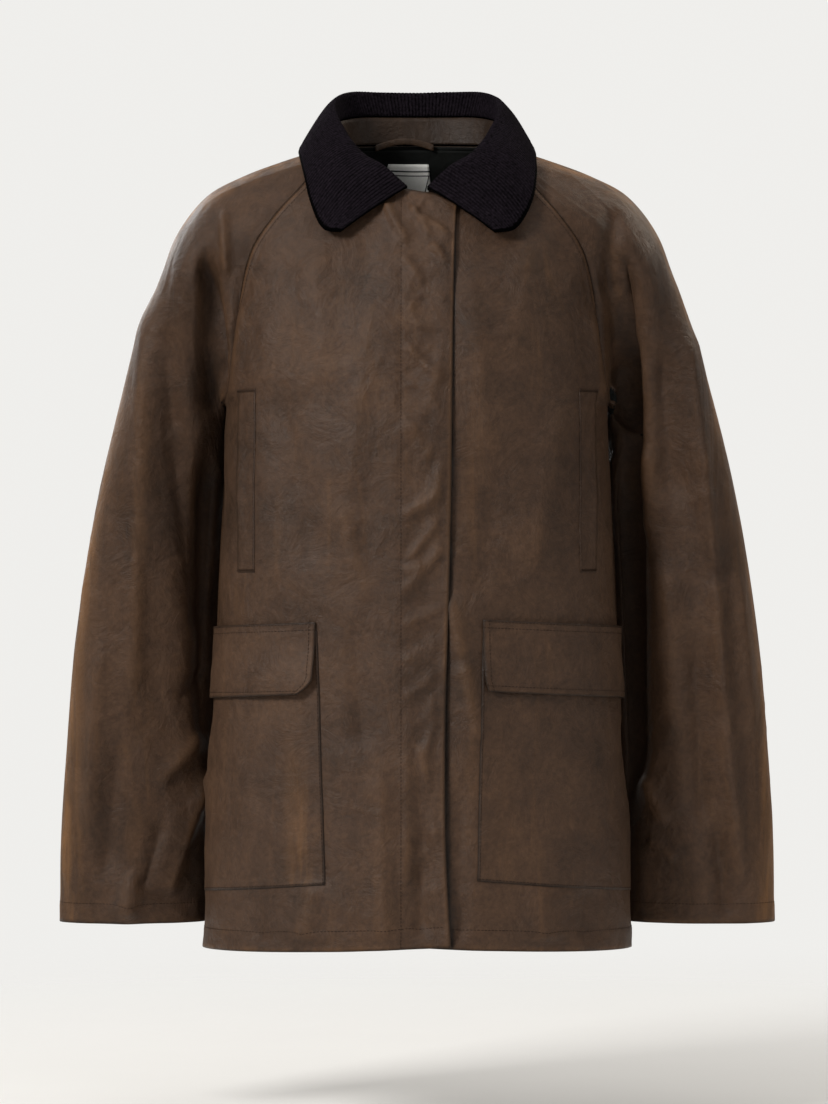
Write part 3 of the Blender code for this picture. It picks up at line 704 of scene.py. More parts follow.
def node(tree, kind, settings=(), **inputs):
    """A node with its settings, and its inputs by name or, as i0, i1 and so on, by number."""
    made = tree.nodes.new(f"ShaderNode{kind}")
    for name, value in dict(settings).items():
        setattr(made, name, value)
    for name, value in inputs.items():
        key = int(name[1:]) if name[0] == "i" and name[1:].isdigit() else name.replace("_", " ")
        socket(tree, value, made.inputs[key])
    return made


def maths(tree, operation, first, second=0.0):
    return node(tree, "Math", {"operation": operation}, i0=first, i1=second).outputs[0]


def ramp(tree, factor, stops):
    """A colour ramp of (place, colour) stops."""
    made = node(tree, "ValToRGB", Fac=factor)
    band = made.color_ramp
    while len(band.elements) < len(stops):
        band.elements.new(0.5)
    for element, (place, colour) in zip(band.elements, stops):
        element.position = place
        element.color = (*colour, 1) if len(colour) == 3 else (colour[0],) * 3 + (1,)
    return made.outputs[0]


def mixed(tree, factor, first, second, blend="MIX"):
    made = node(tree, "Mix", {"data_type": "RGBA", "blend_type": blend})
    for value, name in ((factor, 0), (first, 6), (second, 7)):
        socket(tree, value, made.inputs[name])
    return made.outputs[2]


def scattered(tree, scale, detail=3.0, roughness=0.6, distortion=0.0, stretch=(1, 1, 1), where="Object"):
    """Noise in object or UV coordinates, which are metres along the cloth."""
    coordinates = node(tree, "TexCoord").outputs[where]
    stretched = node(tree, "Mapping", Vector=coordinates, Scale=stretch).outputs[0]
    return node(
        tree, "TexNoise", Vector=stretched, Scale=scale, Detail=detail, Roughness=roughness,
        Distortion=distortion,
    ).outputs["Fac"]


def new_material(name, **fixed):
    """A material's tree and shader, with the shader's fixed numbers set on its own sockets."""
    made = bpy.data.materials.new(name)
    made.use_nodes = True
    shader = made.node_tree.nodes["Principled BSDF"]
    for key, value in fixed.items():
        shader.inputs[key.replace("_", " ")].default_value = value
    return made, made.node_tree, shader


def bumps(tree, shader, *layers):
    """Bump from (height, distance) layers, one on another."""
    normal = None
    for height, distance in layers:
        made = node(tree, "Bump", Height=height, Strength=1.0, Distance=distance)
        if normal is not None:
            tree.links.new(normal, made.inputs["Normal"])
        normal = made.outputs[0]
    tree.links.new(normal, shader.inputs["Normal"])


def weave(tree, pitch):
    """Threads that cross, in the cloth's own lengths."""
    coordinates = node(tree, "TexCoord").outputs["UV"]
    threads = [
        node(
            tree, "TexWave", {"bands_direction": direction}, Vector=coordinates,
            Scale=math.pi / (10 * pitch), Distortion=0.6, Detail=1.0,
        ).outputs["Fac"]
        for direction in "XY"
    ]
    return maths(tree, "MULTIPLY", *threads)


def waxed_cotton(name, shade=1.0):
    """Waxed cotton: clouded browns, orange brown where the wax is worn and where a highlight is painted on the
    sleeves' outer edges, near black along the seam edges and where shade and shadows are painted.

    A shade below 1 darkens all of it, as painted shade.
    """
    made, tree, shader = new_material(
        name, Sheen_Weight=0.03, Sheen_Roughness=0.45, Sheen_Tint=(1.0, 0.72, 0.5, 1), IOR=1.46,
        Specular_IOR_Level=0.24,
    )
    clouds = scattered(tree, 6.5, 5.0, 0.62, 0.7)
    patches = scattered(tree, 21, 5.0, 0.66, 0.4)
    grain = scattered(tree, 210, 4.0, 0.7)
    streaks = scattered(tree, 44, 6.0, 0.66, 0.4, (1, 1, 0.10))
    flecks = scattered(tree, 85, 8.0, 0.72, 0.3)
    tone = maths(tree, "MULTIPLY", clouds, 0.42)
    for finer, share in ((patches, 0.32), (flecks, 0.26)):
        tone = maths(tree, "ADD", tone, maths(tree, "MULTIPLY", finer, share))
    base = ramp(tree, tone, [(0.34, DARK_BROWN), (0.5, BROWN), (0.66, LIGHT_BROWN)])
    speckled = mixed(tree, 0.5, base, ramp(tree, grain, [(0.36, (0.45,)), (0.64, (1.0,))]), "MULTIPLY")
    # Worn wax, and along the sleeves' outer edges also a painted highlight.
    wear = node(tree, "Attribute", {"attribute_name": "wear"}).outputs["Fac"]
    broken = ramp(tree, streaks, [(0.40, (0.12,)), (0.60, (1.0,))])
    rubbed_and_painted_highlight = maths(tree, "MULTIPLY", wear, broken)
    faint = ramp(tree, streaks, [(0.56, (0.0,)), (0.78, (0.13,))])
    worn = mixed(tree, maths(tree, "MAXIMUM", rubbed_and_painted_highlight, faint), speckled, (*RUBBED_AND_PAINTED_HIGHLIGHT, 1))
    # Near black along the seam edges, partly painted shade; painted shade and shadows along the pockets, flaps
    # and welts, beside the placket and on the sleeves beside the body.
    dirt = node(tree, "Attribute", {"attribute_name": "dirt"}).outputs["Fac"]
    with_dark_seams_and_painted_shade = mixed(tree, dirt, worn, (0.010, 0.006, 0.004, 1))
    # A shade below 1 paints shade over all of it.
    tree.links.new(mixed(tree, 1 - shade, with_dark_seams_and_painted_shade, (0.008, 0.006, 0.005, 1)), shader.inputs["Base Color"])
    tree.links.new(ramp(tree, patches, [(0.3, (0.34,)), (0.7, (0.52,))]), shader.inputs["Roughness"])
    bumps(
        tree, shader, (scattered(tree, 30, 6.0, 0.62, 0.8), 0.0032), (flecks, 0.0007), (grain, 0.0003),
        (weave(tree, 0.0009), 0.00012),
    )
    return made


def corduroy():
    made, tree, shader = new_material(
        "corduroy", Sheen_Weight=0.006, Sheen_Roughness=0.5, Sheen_Tint=(0.62, 0.5, 0.62, 1), IOR=1.4,
        Specular_IOR_Level=0.03,
    )
    height = node(tree, "Attribute", {"attribute_name": "wale"}).outputs["Fac"]
    nap = scattered(tree, 420, 3.0, 0.7)
    cloud = scattered(tree, 30, 4.0, 0.6)
    # Painted highlight on the wale tops, and painted shade, near black, in the grooves between them.
    tone = maths(tree, "MULTIPLY", height, maths(tree, "ADD", nap, 0.35))
    wale_painted_light_and_shade = ramp(tree, tone, [(0.58, (0.0001, 0.0001, 0.0001)), (0.98, (0.0150, 0.0112, 0.0156))])
    shader_colour = mixed(tree, 0.6, wale_painted_light_and_shade, ramp(tree, cloud, [(0.3, (0.55,)), (0.7, (1.0,))]), "MULTIPLY")
    tree.links.new(shader_colour, shader.inputs["Base Color"])
    tree.links.new(ramp(tree, nap, [(0.3, (0.8,)), (0.7, (0.95,))]), shader.inputs["Roughness"])
    bumps(tree, shader, (nap, 0.0006))
    return made


def lining():
    made, tree, shader = new_material("black_lining", Sheen_Weight=0.0, Specular_IOR_Level=0.06, IOR=1.45)
    cloud = scattered(tree, 24, 5.0, 0.6, 0.5)
    threads = weave(tree, 0.0006)
    colour = ramp(tree, cloud, [(0.35, (0.0055, 0.006, 0.0055)), (0.65, (0.012, 0.013, 0.0125))])
    tree.links.new(colour, shader.inputs["Base Color"])
    tree.links.new(ramp(tree, cloud, [(0.3, (0.5,)), (0.7, (0.68,))]), shader.inputs["Roughness"])
    bumps(tree, shader, (cloud, 0.0025), (threads, 0.0001))
    return made


def label_cloth():
    """Off-white woven tape with a plain double frame printed on it."""
    made, tree, shader = new_material("label_cloth", Sheen_Weight=0.1, IOR=1.45, Specular_IOR_Level=0.25)
    place = node(tree, "SeparateXYZ", Vector=node(tree, "TexCoord").outputs["UV"]).outputs
    nearest = None
    for axis, size in ((0, LABEL_SIZE[0]), (1, LABEL_SIZE[1])):
        middle = maths(tree, "ABSOLUTE", maths(tree, "SUBTRACT", place[axis], size * MM / 2))
        inside = maths(tree, "SUBTRACT", size * MM / 2, middle)
        nearest = inside if nearest is None else maths(tree, "MINIMUM", nearest, inside)
    printed = None
    for from_edge, thickness in LABEL_FRAME:
        off = maths(tree, "ABSOLUTE", maths(tree, "SUBTRACT", nearest, from_edge * MM))
        line = maths(tree, "LESS_THAN", off, thickness * MM / 2)
        printed = line if printed is None else maths(tree, "MAXIMUM", printed, line)
    threads = weave(tree, 0.0007)
    tape = ramp(tree, scattered(tree, 300, 3.0), [(0.3, (0.93, 0.92, 0.88)), (0.7, (0.99, 0.985, 0.96))])
    tree.links.new(mixed(tree, printed, tape, (0.03, 0.03, 0.03, 1)), shader.inputs["Base Color"])
    tree.links.new(ramp(tree, threads, [(0.0, (0.85,)), (1.0, (0.7,))]), shader.inputs["Roughness"])
    bumps(tree, shader, (threads, 0.0002))
    return made


def thread():
    made, tree, shader = new_material("thread", Sheen_Weight=0.0, IOR=1.4, Specular_IOR_Level=0.08)
    twist = scattered(tree, 700, 3.0)
    colour = ramp(tree, twist, [(0.3, (0.016, 0.010, 0.007)), (0.7, (0.036, 0.021, 0.014))])
    tree.links.new(colour, shader.inputs["Base Color"])
    tree.links.new(ramp(tree, twist, [(0.3, (0.5,)), (0.7, (0.7,))]), shader.inputs["Roughness"])
    bumps(tree, shader, (twist, 0.0002))
    return made


def ground():
    made, tree, shader = new_material("ground", IOR=1.4, Specular_IOR_Level=0.1)
    faint = ramp(tree, scattered(tree, 3, 3.0), [(0.3, (0.88, 0.875, 0.865)), (0.7, (0.90, 0.895, 0.885))])
    tree.links.new(faint, shader.inputs["Base Color"])
    shader.inputs["Roughness"].default_value = 0.9
    place = node(tree, "TexCoord").outputs["Object"]
    flat_place = node(tree, "VectorMath", {"operation": "LENGTH"}, i0=place)
    faded = node(
        tree, "MapRange", {"interpolation_type": "SMOOTHSTEP"}, Value=flat_place.outputs["Value"],
        From_Min=FLOOR_FADES, From_Max=FLOOR_RADIUS * 0.97, To_Min=1.0, To_Max=0.0,
    )
    tree.links.new(faded.outputs[0], shader.inputs["Alpha"])
    return made


# Pieces.


def cloth(name, grid, facing, thickness, finish, slot, flat, inside=None, **attributes):
    """A cut piece of cloth with its outside out: the grid, thickened by Solidify, in place of its CAD node."""
    rows, columns = grid.shape[:2]
    index = np.arange(rows * columns).reshape(rows, columns)
    corners = [index[:-1, :-1], index[:-1, 1:], index[1:, 1:], index[1:, :-1]]
    faces = np.stack(corners[::facing], axis=-1).reshape(-1, 4)
    mesh = bpy.data.meshes.new(name)
    mesh.from_pydata((grid.reshape(-1, 3) * MM).tolist(), [], faces.tolist())
    places = np.stack([lengths(grid, 1), lengths(grid, 0)], axis=-1).reshape(-1, 2) * MM
    uv = mesh.uv_layers.new(name="cloth")
    uv.data.foreach_set("uv", places[faces.ravel()].ravel())
    for key, values in attributes.items():
        layer = mesh.attributes.new(key, "FLOAT", "POINT")
        layer.data.foreach_set("value", np.broadcast_to(values, grid.shape[:2]).astype(np.float32).ravel())
    mesh.materials.append(finish)
    mesh.shade_smooth()
    piece = bpy.data.objects.new(f"visual_{name}", mesh)
    wall = piece.modifiers.new("wall", "SOLIDIFY")
    wall.thickness = thickness * MM
    wall.offset = 0
    if inside is not None:
        mesh.materials.append(inside)
        wall.material_offset = 1
    jacket.objects.link(piece)
    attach(piece, "root")
    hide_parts(name)
    return piece


def stitches(name, runs, parent):
    """Short lengths of thread along runs of points, each a (points, outward normals) pair, as one mesh."""
    ring = np.linspace(0, 2 * math.pi, STITCH_SIDES, endpoint=False)
    profile = np.array([(-0.5, 0.35), (-0.25, 1.0), (0.25, 1.0), (0.5, 0.35)])
    corners, faces = [], []
    for points, outward, pitch, length, radius, turned in runs:
        along = np.concatenate([[0], np.cumsum(np.linalg.norm(np.diff(points, axis=0), axis=1))])
        for middle in np.arange(pitch / 2, along[-1], pitch):
            at = np.array([np.interp(middle, along, points[:, axis]) for axis in range(3)])
            ahead = np.array([np.interp(middle + 1, along, points[:, axis]) for axis in range(3)])
            behind = np.array([np.interp(middle - 1, along, points[:, axis]) for axis in range(3)])
            up = unit(np.array([np.interp(middle, along, outward[:, axis]) for axis in range(3)]))
            way = unit(ahead - behind)
            side = unit(np.cross(way, up))
            if turned:
                way, side = side, way
            first = len(corners) * STITCH_SIDES * len(profile)
            circle = np.cos(ring)[:, None] * side + np.sin(ring)[:, None] * up * 0.7
            corners.append(np.concatenate([at + way * length * t + circle * radius * r for t, r in profile]))
            for layer in range(len(profile) - 1):
                for k in range(STITCH_SIDES):
                    a, b = layer * STITCH_SIDES + k, layer * STITCH_SIDES + (k + 1) % STITCH_SIDES
                    faces.append([first + a, first + b, first + b + STITCH_SIDES, first + a + STITCH_SIDES])
            faces.append([first + k for k in range(STITCH_SIDES)][::-1])
            faces.append([first + (len(profile) - 1) * STITCH_SIDES + k for k in range(STITCH_SIDES)])
    mesh = bpy.data.meshes.new(name)
    mesh.from_pydata((np.concatenate(corners) * MM).tolist(), [], faces)
    mesh.materials.append(FINISH["thread"])
    mesh.shade_smooth()
    piece = bpy.data.objects.new(name, mesh)
    jacket.objects.link(piece)
    piece.parent = parent
    return piece


def inset(grid, edge, distance):
    """Rows and columns of the line at a distance from an edge of a grid, along the cloth."""
    away = edge_distances(grid)[edge]
    count = grid.shape[0] if edge.endswith("column") else grid.shape[1]
    line = away if edge.endswith("column") else away.T
    sign = 1 if edge.startswith("first") else -1
    steps = np.arange(line.shape[1])
    across = np.array([np.interp(distance, row[::sign], steps[::sign]) for row in line])
    whole = np.arange(count, dtype=float)
    return (whole, across) if edge.endswith("column") else (across, whole)


def run(panel, rows, columns, keep=np.s_[:], pitch=3.4, length=2.5, radius=0.3, turned=False):
    """A run of stitches over a panel's outer face."""
    points = sample(panel["grid"], rows, columns)[keep]
    outward = sample(panel["normals"], rows, columns)[keep]
    return points + outward * (panel["wall"] / 2 + 0.12), outward, pitch, length, radius, turned


def dressed(base, facing, folds, seed, laps=(), hems=(), bands=(), extra=0.0, crumpled=1.0, wall=CLOTH):
    """A panel: its plain form with its folds, hems, laps and small dents, where its wax is worn off, with a
    painted highlight in the sleeves' overarm bands, and its darker seam edges, partly painted shade.
    """
    away = edge_distances(base)
    outward = normals(base) * facing
    nearest = np.minimum.reduce(list(away.values()))
    held = smoothstep(nearest / 14)
    along, up = away["first_column"], away["first_row"]
    height = CREASE_SCALE * fold_heights(base, folds, 1.6) * held if folds else np.zeros(base.shape[:-1])
    height = height + crumple(along, up, seed) * held * crumpled + extra
    wear = 0.1 * smoothstep((height - blurred(height, 60)) / 2.2 - 0.15)
    # Darker along every edge: dark seam lines, partly painted shade in the seams.
    dirt = 0.8 * np.exp(-((nearest / 1.3) ** 2))
    for edge in laps:
        height = height + 0.9 * (1 - smoothstep((away[edge] - 7.5) / 1.2)) * smoothstep(away[edge] / 0.8)
        wear = np.maximum(wear, 0.4 * np.exp(-((away[edge] / 3) ** 2)))
    for edge in hems:
        other = along if edge.endswith("row") else up
        height = height + 0.5 * (1 - smoothstep((away[edge] - HEM) / 2))
        height = height + stitched(away[edge] - HEM, other, seed)
        height = height + 0.45 * noise(other, away[edge], 16, seed + 7) * (1 - smoothstep(away[edge] / 30))
        wear = np.maximum(wear, 0.5 * np.exp(-((away[edge] / 2.5) ** 2)))
    # The bands: worn wax, and along the overarm seam also a painted highlight on the sleeves' outer edges.
    for edge, reach, amount in bands:
        wear = np.maximum(wear, amount * np.exp(-((away[edge] / reach) ** 2)))
    grid = base + outward * height[..., None]
    return {
        "base": base, "grid": grid, "normals": outward, "wear": wear, "dirt": dirt, "facing": facing,
        "wall": wall,
    }


def closed_up(grid, edges, rise, reach):
    """How far the cloth stands out along the seams that face each other between the body and a sleeve."""
    away = edge_distances(grid)
    nearest = np.minimum.reduce([away[edge] for edge in edges])
    below_armpit = smoothstep((grid[..., 2] + 600) / 60) * smoothstep((-140 - grid[..., 2]) / 40)
    return rise * below_armpit * np.exp(-((nearest / reach) ** 2))


def laid_on(panel, rows, columns, height):
    """The form of a piece that lies on a panel, moved out of it."""
    return sample(panel["grid"], rows, columns) + unit(sample(panel["normals"], rows, columns)) * height


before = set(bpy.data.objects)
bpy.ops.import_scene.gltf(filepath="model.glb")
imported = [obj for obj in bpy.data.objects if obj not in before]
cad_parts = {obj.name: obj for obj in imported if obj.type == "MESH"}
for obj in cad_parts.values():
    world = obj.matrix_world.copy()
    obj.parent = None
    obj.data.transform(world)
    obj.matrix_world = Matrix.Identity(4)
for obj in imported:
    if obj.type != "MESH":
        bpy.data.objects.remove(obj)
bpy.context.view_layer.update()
jacket = bpy.data.collections.new("jacket")
bpy.context.scene.collection.children.link(jacket)
FINISH = {
    "waxed_cotton": waxed_cotton("waxed_cotton"),
    # A darker copy of the waxed cotton: painted shade on the collar stand and the hanger loop.
    "inside_band_painted_shade": waxed_cotton("inside_band_painted_shade", 0.3),
    "corduroy": corduroy(),
    "black_lining": lining(),
    "label_cloth": label_cloth(),
    "thread": thread(),
}
WAXED, LINED = FINISH["waxed_cotton"], FINISH["black_lining"]

plain = {"front_right": front_grid(RIGHT), "front_left": front_grid(LEFT), "back": back_grid()}
for side, hand in ((RIGHT, "right"), (LEFT, "left")):
    plain[f"sleeve_front_{hand}"] = sleeve_grid(side, RAGLAN_FRONT, -1)
    plain[f"sleeve_back_{hand}"] = sleeve_grid(side, RAGLAN_BACK, 1)
neck = neckline(plain)

# The body and the sleeves.
placket = stitched(plain["front_right"][..., 0] - PLACKET_X, lengths(plain["front_right"], 0), 71)
panels = {
    "front_right": dressed(
        plain["front_right"], RIGHT, FRONT_CREASES, 11, laps=["last_column"], hems=["first_row"],
        bands=[("first_column", 2.4, 0.4)],
        extra=placket + closed_up(plain["front_right"], ["last_column"], BODY_STANDS_OUT, 26),
        crumpled=1 + 1.5 * np.exp(-(((plain["front_right"][..., 0] - 8) / 22) ** 4)),
    ),
    "front_left": dressed(
        plain["front_left"], LEFT, FRONT_CREASES, 23, laps=["last_column"], hems=["first_row"],
        extra=closed_up(plain["front_left"], ["last_column"], BODY_STANDS_OUT, 26),
    ),
    "back": dressed(
        plain["back"], -1, BACK_CREASES, 37, laps=["first_column", "last_column"], hems=["first_row"],
        extra=closed_up(plain["back"], ["first_column", "last_column"], BODY_STANDS_OUT, 26),
    ),
}
for side, hand, seed in ((RIGHT, "right", 41), (LEFT, "left", 53)):
    # The overarm bands: worn wax and a painted highlight along the sleeves' outer edges.
    panels[f"sleeve_front_{hand}"] = dressed(
        plain[f"sleeve_front_{hand}"], side, FRONT_CREASES, seed, hems=["last_row"],
        bands=[("first_column", OVERARM_WEAR_AND_PAINTED_HIGHLIGHT, 1.0)],
        extra=closed_up(plain[f"sleeve_front_{hand}"], ["last_column"], SLEEVE_STANDS_OUT, 20),
    )
    panels[f"sleeve_back_{hand}"] = dressed(
        plain[f"sleeve_back_{hand}"], -side, BACK_CREASES, seed + 4, hems=["last_row"],
        bands=[("first_column", OVERARM_WEAR_AND_PAINTED_HIGHLIGHT, 1.0)],
        extra=closed_up(plain[f"sleeve_back_{hand}"], ["last_column"], SLEEVE_STANDS_OUT, 20),
    )
# Painted shadow on the left front, along the edge of the right front that laps over it.
left_x, left_z = plain["front_left"][..., 0], plain["front_left"][..., 2]
under_placket = left_x - np.interp(left_z, RIGHT_EDGE["z"], RIGHT_EDGE["x"])
placket_painted_shadow = 0.9 * smoothstep(1 - (under_placket - 1.2) / 1.6)
panels["front_left"]["dirt"] = np.maximum(panels["front_left"]["dirt"], placket_painted_shadow)
for name, panel in panels.items():
    if name.startswith("sleeve"):
        # Painted shade on the sleeves along the underarm seam, where they turn in beside the body.
        underarm = edge_distances(panel["base"])["last_column"]
        panel["dirt"] = np.maximum(panel["dirt"], 0.5 * np.exp(-((underarm / 32) ** 2)))
    flat = FLAT.get(name) or FLAT[name.rsplit("_", 1)[0]]
    panel["piece"] = cloth(
        name, panel["grid"], panel["facing"], CLOTH, WAXED, "waxed_cotton", flat, inside=LINED,
        wear=panel["wear"], dirt=panel["dirt"],
    )

# The collar: its stand, and the corduroy that rolls over it in wales from the neck to the outer edge.
stand = collar_grid(neck, np.linspace(0, STAND_ROWS[-1], 8), 160)
# The stand's inside band gets painted shade from the darker copy.
cloth("collar_stand", stand, 1, CLOTH, FINISH["inside_band_painted_shade"], "waxed_cotton", FLAT["collar_stand"], wear=0.1)
middle = collar_grid(neck, [1.5], 200)[0]
wales = round(np.linalg.norm(np.diff(middle, axis=0), axis=1).sum() / WALE)
fall = collar_grid(neck, np.linspace(FALL_ROWS[0], FALL_ROWS[-1], FALL_STEPS + 1), wales * WALE_STEPS)
outward = normals(fall)
outward = outward * np.sign((outward * (fall - fall.mean(axis=(0, 1)))).sum())
fall_facing = int(np.sign((normals(fall) * outward).sum()))
phase = (np.arange(fall.shape[1]) / WALE_STEPS) % 1
round_back = np.sqrt(np.clip(1 - (2 * phase - 1) ** 2, 0, 1))
away = edge_distances(fall)
rim = np.minimum.reduce([away["last_row"], away["first_column"], away["last_column"]])
ridge = round_back[None, :] * smoothstep(rim / 2.5 + 0.25)
body = 1.1 * noise(away["first_column"], away["first_row"], 38, 81) * smoothstep(away["first_row"] / 30)
seam = stitched(rim - 7, away["first_column"], 83)
fall = fall + outward * (WALE_HEIGHT * (ridge - 0.5) + body + 0.5 * seam)[..., None]
cloth(
    "collar_fall", fall, fall_facing, CORDUROY, FINISH["corduroy"], "corduroy", FLAT["collar_fall"], wale=ridge,
)

# The pockets, flaps and welts, each with the rows and columns of its panel that it lies on.
for side, *edges in zip(POCKETS["side"].astype(int).tolist(), *list(POCKETS.values())[1:]):
    hand = "right" if side == RIGHT else "left"
    panel = panels[f"front_{hand}"]
    per_column = FRONT_STEPS / CAD_FRONT_COLUMNS
    back_edge = (CAD_FRONT_COLUMNS - POCKET_BACK_EDGE) * per_column
    across = np.linspace(0, 1, 61)
    pocket_rows = np.linspace(POCKET_ROWS[0], POCKET_ROWS[1], 73) * BODY_FINE
    pocket_x = np.linspace(edges[0], edges[1], 73)
    flap_rows = np.linspace(FLAP_ROWS[0], FLAP_ROWS[1], 33) * BODY_FINE
    flap_up = np.linspace(0, 1, 33)
    cut_back = FLAP_CORNER[side] * np.clip(1 - flap_up / 0.2, 0, 1) ** 1.6
    flap_x = edges[2] + (edges[3] - edges[2]) * flap_up + cut_back
    pocket_edge = np.array([column_at(panel["base"], side, row, x) for row, x in zip(pocket_rows, pocket_x)])
    flap_edge = np.array([column_at(panel["base"], side, row, x) for row, x in zip(flap_rows, flap_x)])
    pocket_columns = pocket_edge[:, None] + (back_edge - pocket_edge)[:, None] * across
    flap_columns = flap_edge[:, None] + (back_edge - flap_edge)[:, None] * across
    places = np.array([
        [place_at(panel["base"], side, x, z) for x in np.linspace(*edges[4:6], 9)]
        for z in np.linspace(*WELT_Z, 49)
    ])
    pocket = laid_on(panel, pocket_rows[:, None], pocket_columns, FLUSH)
    away = edge_distances(pocket)
    nearest = np.minimum.reduce([away["first_row"], away["first_column"], away["last_column"]])
    sag = 1.8 * smoothstep(nearest / 50) + 0.5 * crumple(away["first_column"], away["first_row"], 91 + side)
    sag = sag * smoothstep(nearest / 10)
    sag = sag + 0.35 * stitched(nearest - 2, away["first_row"] + away["first_column"], 97)
    outward = unit(sample(panel["normals"], pocket_rows[:, None], pocket_columns))
    pocket_form = pocket + outward * sag[..., None]
    worn = POCKET_WEAR[side] * np.exp(-(((away["first_column"] - 24) / 11) ** 2))
    worn = worn * smoothstep(1 - away["first_row"] / 200)
    pocket_panel = {"grid": pocket_form, "normals": outward, "wall": LAID_CLOTH}
    # Painted shadow along the pocket's bottom and side edges.
    piece = cloth(
        f"patch_pocket_{hand}", pocket_form, side, LAID_CLOTH, WAXED, "waxed_cotton",
        FLAT[f"patch_pocket_{hand}"], wear=worn, dirt=0.85 * np.exp(-((nearest / 1.5) ** 2)),
    )
    runs = [
        run(pocket_panel, *inset(pocket_form, "first_row", 2.2)),
        run(pocket_panel, *inset(pocket_form, "first_column", 2.2)),
        run(pocket_panel, *inset(pocket_form, "last_column", 2.2)),
    ]
    stitches(f"stitches_patch_pocket_{hand}", runs, piece)

    flap = laid_on(panel, flap_rows[:, None], flap_columns, FLUSH + LAID_CLOTH + 0.5)
    away = edge_distances(flap)
    outward = unit(sample(panel["normals"], flap_rows[:, None], flap_columns))
    lift = (FLAP_LIFT[side] * smoothstep(1 - 2 * across) + 1.8) * smoothstep(1 - 1.3 * flap_up)[:, None]
    over_pocket = 2.6 * smoothstep(away["first_column"] / 55) * smoothstep(away["last_column"] / 55)
    nearest = np.minimum.reduce([away["first_row"], away["first_column"], away["last_column"]])
    relief = over_pocket + lift + 0.35 * crumple(away["first_column"], away["first_row"], 101 + side)
    relief = relief + 0.4 * stitched(away["last_row"] - 6, away["first_column"], 103)
    relief = relief + 0.3 * stitched(nearest - 6, away["first_column"] + away["first_row"], 105)
    flap_form = flap + outward * np.maximum(relief, 0)[..., None]
    worn = 0.12 * np.exp(-((nearest / 3) ** 2))
    flap_panel = {"grid": flap_form, "normals": outward, "wall": FLAP_CLOTH}
    # Painted shadow along all the flap's edges.
    piece = cloth(
        f"pocket_flap_{hand}", flap_form, side, FLAP_CLOTH, WAXED, "waxed_cotton", FLAT[f"pocket_flap_{hand}"],
        wear=worn,
        dirt=0.85 * np.exp(-((np.minimum(nearest, away["last_row"]) / 1.4) ** 2)),
    )
    runs = [
        run(flap_panel, *inset(flap_form, "last_row", 1.6)),
        run(flap_panel, *inset(flap_form, "last_row", 7.2)),
        run(flap_panel, *inset(flap_form, "first_row", 6)),
        run(flap_panel, *inset(flap_form, "first_column", 6)),
    ]
    stitches(f"stitches_pocket_flap_{hand}", runs, piece)

    welt_rows, welt_columns = places[..., 0], places[..., 1]
    welt = laid_on(panel, welt_rows, welt_columns, FLUSH - 0.15)
    outward = unit(sample(panel["normals"], welt_rows, welt_columns))
    away = edge_distances(welt)
    open_edge = smoothstep(1 - away["last_column"] / 14) * np.sin(np.linspace(0, math.pi, 49))[:, None]
    gaping = open_edge * (1.5 + 0.9 * noise(away["first_row"], away["last_column"], 30, 111 + side))
    welt = welt + outward * gaping[..., None]
    welt_panel = {"grid": welt, "normals": outward, "wall": WELT_CLOTH}
    # Painted shade along the welt's edges.
    piece = cloth(
        f"hand_pocket_welt_{hand}", welt, side, WELT_CLOTH, WAXED, "waxed_cotton", FLAT["hand_pocket_welt"],
        dirt=0.35 * np.exp(-((np.minimum.reduce(list(away.values())) / 1.6) ** 2)),
    )
    runs = [
        run(welt_panel, *inset(welt, "first_column", 1.8)),
        run(welt_panel, *inset(welt, "first_row", 2), pitch=1.1, length=2.6, turned=True),
        run(welt_panel, *inset(welt, "last_row", 2), pitch=1.1, length=2.6, turned=True),
    ]
    stitches(f"stitches_hand_pocket_{hand}", runs, piece)

# The inside of the back of the neck.
back = {"grid": plain["back"], "normals": normals(plain["back"])}
per_row = SEAM_STEPS / CAD_SEAM_ROWS
last_row, last_column = plain["back"].shape[0] - 1, plain["back"].shape[1] - 1
in_from_back = CLOTH / 2 + LINING_GAP + THIN_CLOTH / 2
lining_rows = np.linspace(last_row - LINING_ROWS * per_row, last_row - 0.12 * per_row, 60)[:, None]
lining_columns = np.linspace(0.4 * per_row, last_column - 0.4 * per_row, 90)
lining_form = laid_on(back, lining_rows, lining_columns, in_from_back)
away = edge_distances(lining_form)
slack = 1.8 + 1.8 * noise(away["first_column"], away["first_row"], 26, 121)
held = smoothstep(np.minimum.reduce(list(away.values())) / 16)
in_facing = unit(sample(back["normals"], lining_rows, lining_columns))
behind_label = np.exp(-(((lining_form[..., 0] + 9) / 42) ** 4))
behind_label = behind_label * np.exp(-(((lining_form[..., 2] + 30) / 36) ** 4))
lining_form = lining_form + in_facing * (slack * held * (1 - behind_label))[..., None]
cloth("back_lining", lining_form, 1, THIN_CLOTH, LINED, "black_lining", FLAT["back_lining"])

label_rows = np.interp(LABEL_Z, plain["back"][:, last_column // 2, 2], np.arange(last_row + 1))
across_back = plain["back"][-SEAM_STEPS // CAD_SEAM_ROWS, :, 0]
label_columns = np.interp(LABEL_X, across_back, np.arange(last_column + 1))
label_form = laid_on(
    back, np.linspace(*label_rows, 16)[:, None], np.linspace(*label_columns, 18),
    in_from_back + THIN_CLOTH + LAYER_GAP,
)
cloth("label", label_form, 1, THIN_CLOTH, FINISH["label_cloth"], "label_cloth", FLAT["label"])

